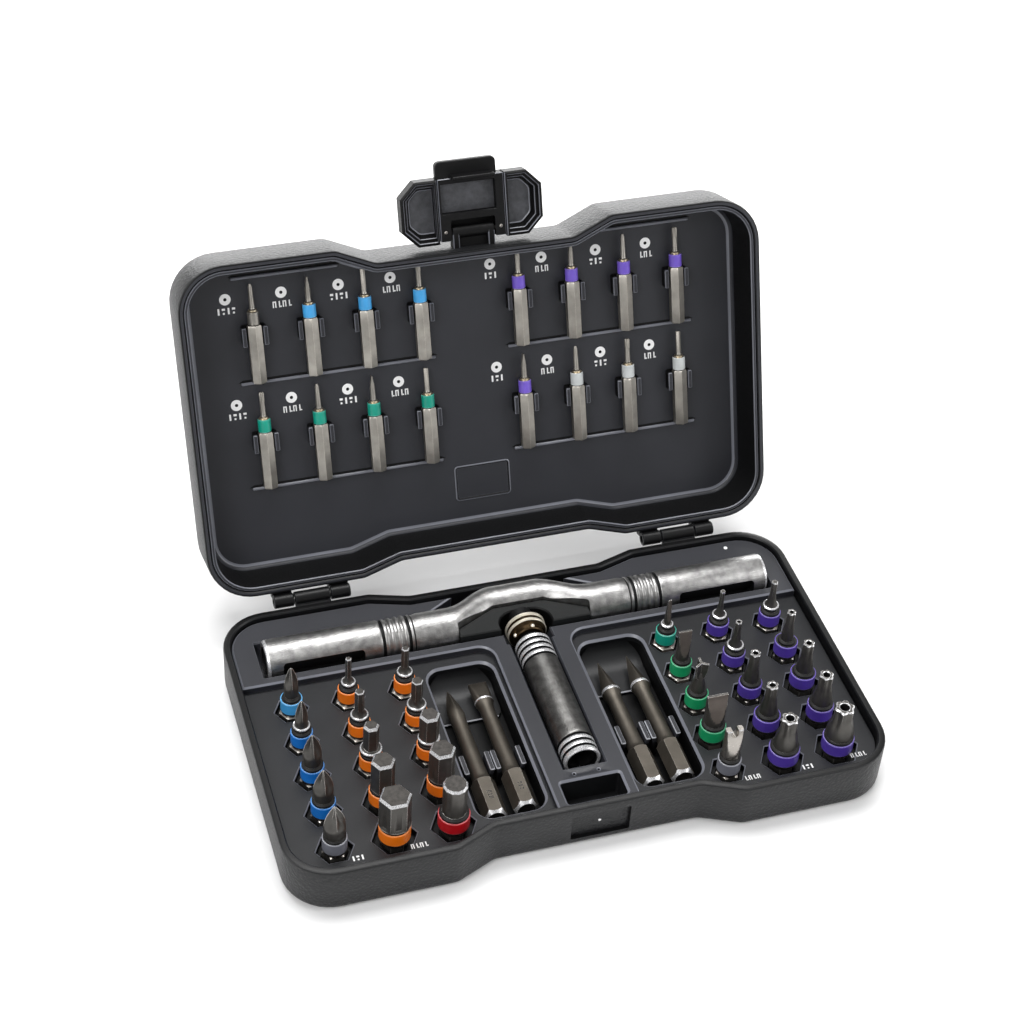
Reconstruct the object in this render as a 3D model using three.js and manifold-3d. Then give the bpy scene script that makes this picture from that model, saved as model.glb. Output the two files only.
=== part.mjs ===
// Precision screwdriver set: a hinged case holding a T-handle ratchet driver and its bits.
// Millimetres, +Z up, origin at the centre of the base's underside, +X along the long side,
// +Y towards the hinge. The case is modelled with its lid open.
import * as THREE from 'three';
import { mergeVertices } from 'three/addons/utils/BufferGeometryUtils.js';
import Module from 'manifold-3d';

const wasm = await Module();
wasm.setup();

// ---- driving dimensions ------------------------------------------------------------------
const GAP = 0.3; // between pieces that touch
const SIDES = 12; // of the turned parts
const BIT_SIDES = 8;
const CUT = 1; // how far a cutting shape runs past the face it opens
const BITE = 0.5; // how far a joined shape reaches into its neighbour
const CASE_W = 178;
const CASE_D = 102;
const CORNER_R = 14;
const WAIST_FRONT = 5.2; // how far the middle of the front wall is set back
const WAIST_BACK = 3.6;
const WAIST_INNER = 30; // half length of the set-back middle
const WAIST_OUTER = 42; // where the slope to it begins
const WAIST_FILLET = 6;
const WAIST_STEPS = 2;
const CORNER_STEPS = 4;
const BASE_H = 15.9;
const WALL = 2.2;
const RIM_CHAMFER = 0.6;
const BASE_CHAMFER = 2.6;
const LID_RIM_Z = BASE_H + GAP;
const LID_TOP_Z = 37;
const LID_CHAMFER_Z = 33;
const LID_CHAMFER = 3.2;
const LID_WALL = 1.6;
const LID_INNER_CHAMFER_Z = LID_CHAMFER_Z - 1.5;
const LID_INNER_CHAMFER = 2;
const LID_ROOF_Z = LID_TOP_Z - 2.4; // the underside of the lid's roof
const LID_FACE_Z = 30.2; // the lid tray's face, with the lid closed
const LID_BASIN_INSET = [2.9, 3.8]; // of the basin's wall, at the rim and at the face
const OPEN_DEG = 112; // how far the lid stands open

const HINGE_Y = CASE_D / 2 + 2.65;
const HINGE_Z = 16.4;
const HINGE_X = 58.8;
const HINGE_HALF = 11.75;
const KNUCKLE_R = 2.1;
const KNUCKLE_HALF = 5.4; // half length of the base's middle knuckle
const PIN_R = 0.9;
const PIN_BORE_R = 1.2;

const MIDDLE_X = 0.6; // the driver, pockets and latch are centred here
const FIELD_Z = 12.1; // the surface that the bits stand in
const SHELF_Z = 14.5; // the raised shelf and spine around the driver
const SHELF_Y = 22.6;
const SPINE_HALF = 12;
const CHANNEL_MARGIN = 1; // between the driver and its channel
const POCKET_IN = 13.4;
const POCKET_OUT = 33.6;
const POCKET_FRONT = -39.5;
const POCKET_BACK = 18.6;
const POCKET_R = 4.5;
const POCKET_FLOOR = 3.4;
const POCKET_STEP_Y = 3; // behind this the floor is higher
const POCKET_STEP_Z = 4.6;
const TAB_Y = [-21.4, -14.4]; // the spring tabs that grip the long bits
const TAB_TOP = 10.6;
const TAB_REACH = 3.4;
const TAB_T = 1.2;
const RECESS_HALF = 8.9;
const RECESS_Y = [-42.2, -34.2];
const RECESS_FLOOR = 6;
const CATCH_HALF = 8.7;
const CATCH_Z = [3.2, 12.6];
const CATCH_DEPTH = 1.3;

const HANDLE_Y = 32.7; // axis of the handle's arms
const HANDLE_Z = 14;
const ARM_R = 6.1;
const ARM_BORE_R = 4.2;
const ARM_SEAM = 34; // where the arms meet the yoke, from the middle
const ARM_END = 78.6;
const ARM_WINDOW = [49.5, 74];
const ARM_WINDOW_W = 5.8;
const YOKE_OFFSET = 6.8; // how far the yoke bows towards the hinge
const YOKE_FLAT = 7;
const YOKE_BEND_END = 22;
const YOKE_R = 5.3; // radius at the middle of the bow
const YOKE_STEP = 4;
const STUD_LENGTH = 9; // of the yoke's studs inside the arms
const STEM_R = 5.5;
const STEM_BACK = 20;
const STEM_FRONT = -28;
const SPINDLE_R = 3;
const GROOVE_W = 1.5;
const GROOVE_DEPTH = 0.6;
const GROOVE_PITCH = 2.2; // of the stem's grooves
const SPINDLE_END = 33;
const COLLAR_R = 6.2;
const COLLAR_Y = [22.4, 28];
const CORE_R = 5.2;
const CORE_Y = [28.4, 34.9];
const SOCKET_AF = 6.5; // across the flats of the hexagon socket
const SOCKET_R = 4.3;
const SOCKET_DEPTH = 15;

const BIT_AF = 6.35;
const BIT_LENGTH = 25;
const BIT_FLOOR = 4.2; // where the standing bits rest
const BIT_COLUMNS = [40.6, 57.4, 74.2];
const BIT_ROWS = [13.4, 0.2, -13, -26.2, -39.4];
const MOUTH_FLOOR = 9.6; // of the wide hexagonal mouth around each standing bit
const RING_Z = [8.8, 13]; // the coloured ring, above the bit's foot
const RING_LEAD = 1.2;
const SHOULDER_Z = 14.6;
const LONG_BIT_Z = 8.2;
const LONG_BIT_PITCH = 9.3;
const LONG_SHANK = 14;
const LID_BIT_AF = 4;
const LID_BIT_LENGTH = 30;
const LID_NECK = 12.4; // from the tip to the start of the shank
const LID_BIT_COLUMNS = [15.4, 32.2, 49, 65.8];
const LID_ROW_TIPS = [-41.6, -8.6]; // tip ends of the lid's two rows
const LID_BIT_Z = LID_FACE_Z - GAP - LID_BIT_AF / 2;

const LATCH_Y = -50.3;
const LATCH_Z = 22.5;
const LATCH_HALF = 21.5;
const LATCH_DOWN = 16.4;
const LATCH_UP = 2.8;
const LATCH_CUT = 4.6;
const CHANNEL_HALF = 10.3;
const TAB_HALF = 9.2;
const TAB_END = 21.5;
const BRACKET_HALF = 6.4;
const BARREL_R = 1.9;
const LATCH_PIN_R = 0.8;
const LATCH_BORE_R = 1.1;

const black = { color: 0x232427, roughness: 0.6, metalness: 0 };
const darkGrey = { color: 0x46474b, roughness: 0.55, metalness: 0 };
const aluminium = { color: 0x9a9c9e, roughness: 0.35, metalness: 1 };
const steel = { color: 0x5a5753, roughness: 0.4, metalness: 1 };
const pewter = { color: 0x857f74, roughness: 0.4, metalness: 1 };
const brass = { color: 0xb08d57, roughness: 0.3, metalness: 1 };

// ---- solids --------------------------------------------------------------------------------

// A closed three.js geometry as a solid that can be joined and cut.
function solid(geometry) {
  const bare = geometry.clone();
  for (const name of ['normal', 'uv']) {
    bare.deleteAttribute(name);
  }
  const merged = mergeVertices(bare, 1e-4);
  const index = merged.index.array;
  const triangles = [];
  for (let i = 0; i < index.length; i += 3) {
    const [a, b, c] = [index[i], index[i + 1], index[i + 2]];
    if (a !== b && b !== c && c !== a) {
      triangles.push(a, b, c);
    }
  }
  const vertProperties = new Float32Array(merged.attributes.position.array);
  const triVerts = new Uint32Array(triangles);
  return new wasm.Manifold(new wasm.Mesh({ numProp: 3, vertProperties, triVerts }));
}

function geometryOf(shape) {
  const { vertProperties, triVerts } = shape.getMesh();
  const geometry = new THREE.BufferGeometry();
  geometry.setAttribute('position', new THREE.BufferAttribute(vertProperties, 3));
  geometry.setIndex(new THREE.BufferAttribute(triVerts, 1));
  geometry.computeVertexNormals();
  return geometry;
}

const joined = (shapes) => shapes.reduce((whole, shape) => whole.add(shape));

function block([x0, x1], [y0, y1], [z0, z1]) {
  const geometry = new THREE.BoxGeometry(x1 - x0, y1 - y0, z1 - z0);
  geometry.translate((x0 + x1) / 2, (y0 + y1) / 2, (z0 + z1) / 2);
  return solid(geometry);
}

// The span along X of something centred on the driver.
const middleSpan = (half) => [MIDDLE_X - half, MIDDLE_X + half];

// The same block on both sides of the middle plane x = 0.
function mirroredBlocks([x0, x1], y, z) {
  return block([x0, x1], y, z).add(block([-x1, -x0], y, z));
}

function extruded(points, depth) {
  return new THREE.ExtrudeGeometry(new THREE.Shape(points), { depth, bevelEnabled: false });
}

function prism(points, [z0, z1]) {
  const geometry = extruded(points, z1 - z0);
  geometry.translate(0, 0, z0);
  return solid(geometry);
}

// An outline drawn in X and Z, extruded between two values of Y.
function standingPrism(points, [y0, y1]) {
  const geometry = extruded(points, y1 - y0);
  geometry.rotateX(Math.PI / 2);
  geometry.translate(0, y1, 0);
  return solid(geometry);
}

// A turned shape. The profile is [radius, height] pairs that start and end on the axis.
function turned(profile, sides = SIDES) {
  return new THREE.LatheGeometry(profile.map(([r, h]) => new THREE.Vector2(r, h)), sides);
}

const rodProfile = (radius, [low, high]) => [[0, low], [radius, low], [radius, high], [0, high]];

function rodX(radius, span, y, z, sides = SIDES) {
  const geometry = turned(rodProfile(radius, span), sides);
  geometry.rotateZ(-Math.PI / 2);
  geometry.translate(0, y, z);
  return solid(geometry);
}

function rodY(radius, span, x, z, sides = SIDES) {
  const geometry = turned(rodProfile(radius, span), sides);
  geometry.translate(x, 0, z);
  return solid(geometry);
}

function turnedZ(profile, sides = BIT_SIDES) {
  const geometry = turned(profile, sides);
  geometry.rotateX(Math.PI / 2);
  return solid(geometry);
}

function turnedY(profile, x, z, sides = SIDES) {
  const geometry = turned(profile, sides);
  geometry.translate(x, 0, z);
  return solid(geometry);
}

function regularPolygon(sides, radius, turn = 0, [x, y] = [0, 0]) {
  const points = [];
  for (let i = 0; i < sides; i += 1) {
    const angle = turn + (i * 2 * Math.PI) / sides;
    points.push(new THREE.Vector2(x + radius * Math.cos(angle), y + radius * Math.sin(angle)));
  }
  return points;
}

// A hexagon by its size across the flats.
function hexagon(flats, turn = 0, centre = [0, 0]) {
  return regularPolygon(6, flats / 2 / Math.cos(Math.PI / 6), turn, centre);
}

// Grip grooves around a turned shape, as profile points [radius, height].
function gripGrooves(radius, start, pitch, count) {
  const points = [];
  for (let i = 0; i < count; i += 1) {
    const low = start + i * pitch;
    points.push([radius, low], [radius - GROOVE_DEPTH, low + GROOVE_W / 2], [radius, low + GROOVE_W]);
  }
  return points;
}

// An outline through corners [x, y, radius, steps], each rounded by an arc of that radius.
function roundedOutline(corners, sharedSteps) {
  const points = [];
  corners.forEach(([x, y, radius, steps = sharedSteps], i) => {
    const here = new THREE.Vector2(x, y);
    const [beforeX, beforeY] = corners[(i + corners.length - 1) % corners.length];
    const [afterX, afterY] = corners[(i + 1) % corners.length];
    const back = new THREE.Vector2(beforeX, beforeY).sub(here).normalize();
    const ahead = new THREE.Vector2(afterX, afterY).sub(here).normalize();
    const half = Math.acos(back.dot(ahead)) / 2;
    const centre = back.clone().add(ahead).setLength(radius / Math.sin(half)).add(here);
    const start = back.clone().setLength(radius / Math.tan(half)).add(here).sub(centre);
    const end = ahead.clone().setLength(radius / Math.tan(half)).add(here).sub(centre);
    const from = start.angle();
    const sweep = Math.atan2(start.cross(end), start.dot(end));
    for (let step = 0; step <= steps; step += 1) {
      const angle = from + (sweep * step) / steps;
      const spoke = new THREE.Vector2(Math.cos(angle), Math.sin(angle));
      points.push(spoke.multiplyScalar(radius).add(centre));
    }
  });
  return points;
}

function roundedRectangle([x0, x1], [y0, y1], radius, steps = 3) {
  const corners = [[x0, y0], [x1, y0], [x1, y1], [x0, y1]];
  return roundedOutline(corners.map(([x, y]) => [x, y, radius]), steps);
}

// The case's outline, moved inwards by inset: a rounded rectangle with a waist front and back.
function caseOutline(inset) {
  const side = CASE_W / 2 - inset;
  const front = -CASE_D / 2 + inset;
  const back = CASE_D / 2 - inset;
  const radius = CORNER_R - inset;
  const waist = (y, depth, sign) => {
    const shift = inset * Math.tan(Math.atan2(depth, WAIST_OUTER - WAIST_INNER) / 2);
    const setBack = y - Math.sign(y) * depth;
    const outer = [sign * (WAIST_OUTER + shift), y, WAIST_FILLET, WAIST_STEPS];
    const inner = [sign * (WAIST_INNER + shift), setBack, WAIST_FILLET, WAIST_STEPS];
    return sign * Math.sign(y) > 0 ? [outer, inner] : [inner, outer];
  };
  return roundedOutline([
    [-side, front, radius],
    ...waist(front, WAIST_FRONT, -1),
    ...waist(front, WAIST_FRONT, 1),
    [side, front, radius],
    [side, back, radius],
    ...waist(back, WAIST_BACK, 1),
    ...waist(back, WAIST_BACK, -1),
    [-side, back, radius],
  ], CORNER_STEPS);
}

// A solid between outlines of the case at several heights, given as [inset, z] pairs.
function caseStack(levels) {
  const rings = levels.map(([inset]) => caseOutline(inset));
  const count = rings[0].length;
  const positions = [];
  rings.forEach((ring, level) => {
    ring.forEach(({ x, y }) => positions.push(x, y, levels[level][1]));
  });
  const index = [];
  for (let level = 0; level + 1 < levels.length; level += 1) {
    for (let i = 0; i < count; i += 1) {
      const a = level * count + i;
      const b = level * count + ((i + 1) % count);
      index.push(a, b, a + count, b, b + count, a + count);
    }
  }
  const top = (levels.length - 1) * count;
  const { triangulateShape } = THREE.ShapeUtils;
  triangulateShape(rings[0], []).forEach(([a, b, c]) => index.push(c, b, a));
  triangulateShape(rings.at(-1), []).forEach((face) => index.push(...face.map((i) => top + i)));
  const geometry = new THREE.BufferGeometry();
  geometry.setAttribute('position', new THREE.Float32BufferAttribute(positions, 3));
  geometry.setIndex(index);
  return solid(geometry);
}

// ---- base ----------------------------------------------------------------------------------

function baseShell() {
  const outside = caseStack([
    [BASE_CHAMFER, 0],
    [0, BASE_CHAMFER],
    [0, BASE_H - RIM_CHAMFER],
    [RIM_CHAMFER, BASE_H],
  ]);
  const inside = caseStack([[WALL, WALL], [WALL, BASE_H + CUT]]);
  const front = -CASE_D / 2 + WAIST_FRONT;
  const catchRecess = block(middleSpan(CATCH_HALF), [front - CUT, front + CATCH_DEPTH], CATCH_Z);
  const shell = outside.subtract(inside).subtract(catchRecess);
  const knuckles = [-HINGE_X, HINGE_X].map((x) => {
    const span = [x - KNUCKLE_HALF, x + KNUCKLE_HALF];
    const arm = block(span, [CASE_D / 2 - BITE, HINGE_Y], [11.5, BASE_H]);
    return arm.add(rodX(KNUCKLE_R, span, HINGE_Y, HINGE_Z));
  });
  const bore = rodX(PIN_BORE_R, [-CASE_W / 2, CASE_W / 2], HINGE_Y, HINGE_Z, BIT_SIDES);
  return shell.add(joined(knuckles)).subtract(bore);
}

// A trough along X or Y, round below its axis and open above it.
function troughX(half, span) {
  const y = [HANDLE_Y - half, HANDLE_Y + half];
  return rodX(half, span, HANDLE_Y, HANDLE_Z).add(block(span, y, [HANDLE_Z, BASE_H + CUT]));
}

function troughY(half, span) {
  const open = block(middleSpan(half), span, [HANDLE_Z, BASE_H + CUT]);
  return rodY(half, span, MIDDLE_X, HANDLE_Z).add(open);
}

// The channel that the driver lies in: arms, yoke, collar and stem.
function driverChannel() {
  const half = ARM_R + CHANNEL_MARGIN;
  const arms = troughX(half, [MIDDLE_X - ARM_END - 1.8, MIDDLE_X + ARM_END + 1.4]);
  const [near, back] = [HANDLE_Y + half, HANDLE_Y + YOKE_OFFSET + half];
  const front = HANDLE_Y - half;
  const outline = [[27, front], [27, near], [15, back], [-15, back], [-27, near], [-27, front]];
  const bowPoints = outline.map(([x, y]) => new THREE.Vector2(MIDDLE_X + x, y));
  const bowSpace = prism(bowPoints, [HANDLE_Z - half, BASE_H + CUT]);
  const stem = troughY(STEM_R + 0.8, [STEM_FRONT - 2, HANDLE_Y]);
  const collar = troughY(COLLAR_R + CHANNEL_MARGIN, [COLLAR_Y[0] - 1.2, HANDLE_Y]);
  return joined([arms, bowSpace, stem, collar]);
}

// The lower fields on both sides, in which the bits stand.
function bitFields() {
  const far = CASE_W / 2;
  const [left, right] = middleSpan(SPINE_HALF);
  const leftField = [[-far, -CASE_D, 1], [left, -CASE_D, 1], [left, SHELF_Y, 5], [-far, SHELF_Y, 1]];
  const rightField = [[right, -CASE_D, 1], [far, -CASE_D, 1], [far, SHELF_Y, 1], [right, SHELF_Y, 5]];
  const outlines = [leftField, rightField].map((corners) => roundedOutline(corners, 3));
  return joined(outlines.map((outline) => prism(outline, [FIELD_Z, BASE_H])));
}

function bitHole(x, y, ringR) {
  const mouth = prism(hexagon(2 * ringR + 2.2, 0, [x, y]), [MOUTH_FLOOR, FIELD_Z + CUT]);
  const seat = prism(hexagon(BIT_AF + 2 * GAP, 0, [x, y]), [BIT_FLOOR - GAP, FIELD_Z]);
  return mouth.add(seat);
}

function pocket(sign) {
  const span = sign > 0 ? [POCKET_IN, POCKET_OUT] : [-POCKET_OUT, -POCKET_IN];
  const x = span.map((value) => MIDDLE_X + value);
  const outline = roundedRectangle(x, [POCKET_FRONT, POCKET_BACK], POCKET_R);
  const step = block(x, [POCKET_STEP_Y, POCKET_BACK], [POCKET_FLOOR - CUT, POCKET_STEP_Z]);
  return prism(outline, [POCKET_FLOOR, BASE_H]).subtract(step);
}

// The spring tabs beside each long bit.
function pocketTabs(sign) {
  const middle = MIDDLE_X + (sign * (POCKET_IN + POCKET_OUT)) / 2;
  const tabs = [-1, 1].flatMap((side) => [-1, 1].map((edge) => {
    const x = middle + side * (LONG_BIT_PITCH / 2) + edge * TAB_REACH;
    return block([x - TAB_T / 2, x + TAB_T / 2], TAB_Y, [POCKET_FLOOR - BITE, TAB_TOP]);
  }));
  return joined(tabs);
}

function baseTray() {
  let tray = caseStack([[WALL + GAP, WALL + GAP], [WALL + GAP, SHELF_Z]]);
  tray = tray.subtract(bitFields()).subtract(driverChannel());
  for (const bit of standingBits()) {
    tray = tray.subtract(bitHole(bit.x, bit.y, bit.ring));
  }
  tray = tray.subtract(block(middleSpan(RECESS_HALF), RECESS_Y, [RECESS_FLOOR, BASE_H]));
  for (const sign of [-1, 1]) {
    tray = tray.subtract(pocket(sign)).add(pocketTabs(sign));
  }
  return tray;
}

// ---- lid, drawn closed -----------------------------------------------------------------------

function latchBracket() {
  const wallY = -CASE_D / 2 + WAIST_FRONT;
  const x = middleSpan(BRACKET_HALF);
  const armZ = [LATCH_Z - BARREL_R, LATCH_Z + BARREL_R];
  const sides = [[x[0], x[0] + 2], [x[1] - 2, x[1]]];
  const arms = sides.map((span) => block(span, [LATCH_Y, wallY + BITE], armZ));
  return joined([...arms, rodX(BARREL_R, x, LATCH_Y, LATCH_Z)]);
}

function lidEar(span) {
  const arm = block(span, [CASE_D / 2 - BITE, HINGE_Y], [LID_RIM_Z + 0.6, LID_RIM_Z + 4.8]);
  return arm.add(rodX(KNUCKLE_R, span, HINGE_Y, HINGE_Z));
}

function lidShell() {
  const outside = caseStack([
    [RIM_CHAMFER, LID_RIM_Z],
    [0, LID_RIM_Z + RIM_CHAMFER],
    [0, LID_CHAMFER_Z],
    [LID_CHAMFER, LID_TOP_Z],
  ]);
  const inside = caseStack([
    [LID_WALL, LID_RIM_Z - CUT],
    [LID_WALL, LID_INNER_CHAMFER_Z],
    [LID_WALL + LID_INNER_CHAMFER, LID_ROOF_Z],
  ]);
  const ears = [-HINGE_X, HINGE_X].flatMap((x) => [
    lidEar([x - HINGE_HALF, x - KNUCKLE_HALF - GAP]),
    lidEar([x + KNUCKLE_HALF + GAP, x + HINGE_HALF]),
  ]);
  const bore = rodX(PIN_BORE_R, [-CASE_W / 2, CASE_W / 2], HINGE_Y, HINGE_Z, BIT_SIDES);
  const latchBore = rodX(LATCH_BORE_R, [-LATCH_HALF, LATCH_HALF], LATCH_Y, LATCH_Z, BIT_SIDES);
  const shell = outside.subtract(inside).add(joined(ears)).subtract(bore);
  return shell.add(latchBracket()).subtract(latchBore);
}

function lidClips(x, tipY) {
  const y = [tipY + 12.9, tipY + 18.6];
  const z = [LID_FACE_Z - 3.4, LID_FACE_Z + 1];
  return block([x - 3.8, x - 2.5], y, z).add(block([x + 2.5, x + 3.8], y, z));
}

function lidTray() {
  const outside = caseStack([
    [LID_WALL + GAP, LID_RIM_Z + GAP],
    [LID_WALL + GAP, LID_INNER_CHAMFER_Z],
    [LID_WALL + GAP + LID_INNER_CHAMFER, LID_ROOF_Z - GAP],
  ]);
  const basin = caseStack([[LID_BASIN_INSET[0], LID_RIM_Z], [LID_BASIN_INSET[1], LID_FACE_Z]]);
  let tray = outside.subtract(basin);
  const ribZ = [LID_FACE_Z - 0.7, LID_FACE_Z + 1];
  tray = tray.add(mirroredBlocks([44, 71], [-43.6, -42.8], ribZ));
  const backRib = LID_ROW_TIPS[1] + LID_BIT_LENGTH + 1.6;
  tray = tray.add(mirroredBlocks([11.5, 71], [backRib - 0.4, backRib + 0.4], ribZ));
  tray = tray.add(block(middleSpan(8.9), [25, 36.4], ribZ));
  for (const tipY of LID_ROW_TIPS) {
    for (const x of LID_BIT_COLUMNS) {
      tray = tray.add(lidClips(x, tipY)).add(lidClips(-x, tipY));
    }
  }
  return tray;
}

function lidBit(x, tipY, end) {
  const shank = hexRodAlongY(LID_BIT_AF, [tipY + LID_NECK, end], x, LID_BIT_Z, 0);
  const [low, high] = [tipY + LID_NECK - 4.6, tipY + LID_NECK + 0.6];
  const profile = [[0, tipY], [0.8, tipY], [0.9, low], [1.9, low + 0.6], [1.9, high], [0, high]];
  return shank.add(turnedY(profile, x, LID_BIT_Z, 8));
}

// One row of four lid bits with the strip that their ends stand against.
function lidBitRow(side, tipY) {
  const end = tipY + LID_BIT_LENGTH;
  const bits = LID_BIT_COLUMNS.map((column) => lidBit(side * column, tipY, end));
  const [near, far] = [LID_BIT_COLUMNS[0] - 3.9, LID_BIT_COLUMNS.at(-1) + 5.2];
  const ends = side > 0 ? [near, far] : [-far, -near];
  const strip = block(ends, [end - 0.6, end + 0.7], [LID_FACE_Z - 0.7, LID_FACE_Z - GAP]);
  return joined([...bits, strip]);
}

// ---- latch, drawn closed with its pivot at the origin --------------------------------------------

function octagon(half, low, high, cut) {
  return [
    [-half + cut, low],
    [half - cut, low],
    [half, low + cut],
    [half, high - cut],
    [half - cut, high],
    [-half + cut, high],
    [-half, high - cut],
    [-half, low + cut],
  ].map(([x, y]) => new THREE.Vector2(x, y));
}

function latchCover() {
  const outline = octagon(LATCH_HALF, -LATCH_DOWN, LATCH_UP, LATCH_CUT);
  const plate = standingPrism(outline, [-3.3, 2.2]);
  const openZ = [-LATCH_DOWN - CUT, LATCH_UP + CUT];
  const channel = block([-CHANNEL_HALF, CHANNEL_HALF], [-2.2, 2.2 + CUT], openZ);
  const cupOutline = octagon(LATCH_HALF - 2, 2 - LATCH_DOWN, LATCH_UP - 2, LATCH_CUT - 1);
  const cupWall = CHANNEL_HALF + 1.2;
  const cups = standingPrism(cupOutline, [-1, 3]).subtract(block([-cupWall, cupWall], [-4, 4], openZ));
  return plate.subtract(channel).subtract(cups);
}

function latchHookPlate() {
  const half = CHANNEL_HALF - GAP;
  const panel = block([-half, half], [-1.9, 1.9], [-LATCH_DOWN, LATCH_UP - 0.6]);
  const notchHalf = BRACKET_HALF + 0.4;
  const notch = block([-notchHalf, notchHalf], [-3, 3], [-5.6, LATCH_UP]);
  const hollow = block([-half + 1.2, half - 1.2], [0.4, 3], [-LATCH_DOWN + 1.2, -7]);
  const tabOutline = roundedRectangle([-TAB_HALF, TAB_HALF], [-TAB_END, -LATCH_DOWN + 2], 1.6, 2);
  const tab = standingPrism(tabOutline, [-0.6, 1.9]);
  const hook = block([-TAB_HALF + 1.6, TAB_HALF - 1.6], [1.5, 5.5], [-18.9, -17.3]);
  const bore = rodX(LATCH_BORE_R, [-LATCH_HALF, LATCH_HALF], 0, 0, BIT_SIDES);
  return panel.subtract(notch).subtract(hollow).add(tab).add(hook).subtract(bore);
}

const latchPin = () => rodX(LATCH_PIN_R, [-CHANNEL_HALF + 0.6, CHANNEL_HALF - 0.6], 0, 0, BIT_SIDES);

// ---- driver --------------------------------------------------------------------------------------

const smooth = (t) => t * t * (3 - 2 * t);

// How far the yoke stands from the arms' axis at a distance from the middle, from 0 to 1.
function bow(distance) {
  const t = (Math.abs(distance) - YOKE_FLAT) / (YOKE_BEND_END - YOKE_FLAT);
  return 1 - smooth(Math.min(Math.max(t, 0), 1));
}

function yokeSolid(extra = 0) {
  const end = ARM_SEAM - GAP;
  const stations = [-end];
  for (let x = -YOKE_BEND_END; x < YOKE_BEND_END; x += YOKE_STEP) {
    stations.push(x);
  }
  stations.push(YOKE_BEND_END, end);
  const radius = (x) => ARM_R + (YOKE_R - ARM_R) * bow(x) + extra;
  const profile = [[0, -end], ...stations.map((x) => [radius(x), x]), [0, end]];
  const geometry = turned(profile);
  geometry.rotateZ(-Math.PI / 2);
  const position = geometry.attributes.position;
  for (let i = 0; i < position.count; i += 1) {
    position.setY(i, position.getY(i) + YOKE_OFFSET * bow(position.getX(i)));
  }
  geometry.translate(MIDDLE_X, HANDLE_Y, HANDLE_Z);
  return solid(geometry);
}

// A span along X on one side of the middle, given by its distances from the middle.
function sideSpan(side, from, to) {
  return side > 0 ? [MIDDLE_X + from, MIDDLE_X + to] : [MIDDLE_X - to, MIDDLE_X - from];
}

function handleYoke() {
  const studs = [-1, 1].map((side) => {
    const span = sideSpan(side, ARM_SEAM - CUT, ARM_SEAM + STUD_LENGTH);
    return rodX(ARM_BORE_R - GAP, span, HANDLE_Y, HANDLE_Z);
  });
  const seat = rodY(CORE_R + GAP, [HANDLE_Y - 8, CORE_Y[1] + GAP], MIDDLE_X, HANDLE_Z);
  return joined([yokeSolid(), ...studs]).subtract(seat);
}

// An arm is a tube with five grip grooves beside the seam and a long window facing the stem.
function handleArm(side) {
  const profile = [
    [0, ARM_SEAM],
    [ARM_R, ARM_SEAM],
    ...gripGrooves(ARM_R, ARM_SEAM + 1, 2, 5),
    [ARM_R, ARM_END - 0.6],
    [ARM_R - 0.6, ARM_END],
    [0, ARM_END],
  ];
  const geometry = turned(profile);
  geometry.rotateZ((-side * Math.PI) / 2);
  geometry.translate(MIDDLE_X, HANDLE_Y, HANDLE_Z);
  const bore = rodX(ARM_BORE_R, sideSpan(side, ARM_SEAM - CUT, ARM_END + CUT), HANDLE_Y, HANDLE_Z);
  const windowZ = [HANDLE_Z - ARM_WINDOW_W / 2, HANDLE_Z + ARM_WINDOW_W / 2];
  const window = block(sideSpan(side, ...ARM_WINDOW), [HANDLE_Y - ARM_R - CUT, HANDLE_Y], windowZ);
  return solid(geometry).subtract(bore).subtract(window);
}

function armCap(side) {
  return rodX(ARM_BORE_R - GAP, sideSpan(side, ARM_END - 3.6, ARM_END - 0.4), HANDLE_Y, HANDLE_Z);
}

// The black liner fills the bow and holds the ratchet core in a round seat.
function yokeLiner() {
  const outline = [[-20.6, 26], [20.6, 26], [20.6, 30], [9, 38], [-9, 38], [-20.6, 30]]
    .map(([x, y]) => new THREE.Vector2(MIDDLE_X + x, y));
  const plate = prism(outline, [7.4, 16.4]);
  const seat = troughY(COLLAR_R + 0.9, [20, CORE_Y[0] + 0.4]);
  const coreSeat = rodY(CORE_R + GAP, [20, 40], MIDDLE_X, HANDLE_Z);
  return plate.subtract(yokeSolid(GAP)).subtract(seat).subtract(coreSeat);
}

function ratchetCore() {
  const bore = rodY(SPINDLE_R + GAP, [CORE_Y[0] - 1, 33.5], MIDDLE_X, HANDLE_Z);
  return rodY(CORE_R, CORE_Y, MIDDLE_X, HANDLE_Z).subtract(bore);
}

function selectorCollar() {
  const [front, back] = COLLAR_Y;
  const profile = [
    [0, front],
    [COLLAR_R - 1.6, front],
    [COLLAR_R - 1.6, front + 1.4],
    [COLLAR_R, front + 2],
    [COLLAR_R, front + 3],
    [COLLAR_R - GROOVE_DEPTH, front + 3.4],
    [COLLAR_R, front + 3.8],
    [COLLAR_R, back],
    [0, back],
  ];
  const bore = rodY(SPINDLE_R + GAP, [front - 1, back + 1], MIDDLE_X, HANDLE_Z);
  return turnedY(profile, MIDDLE_X, HANDLE_Z).subtract(bore);
}

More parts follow.
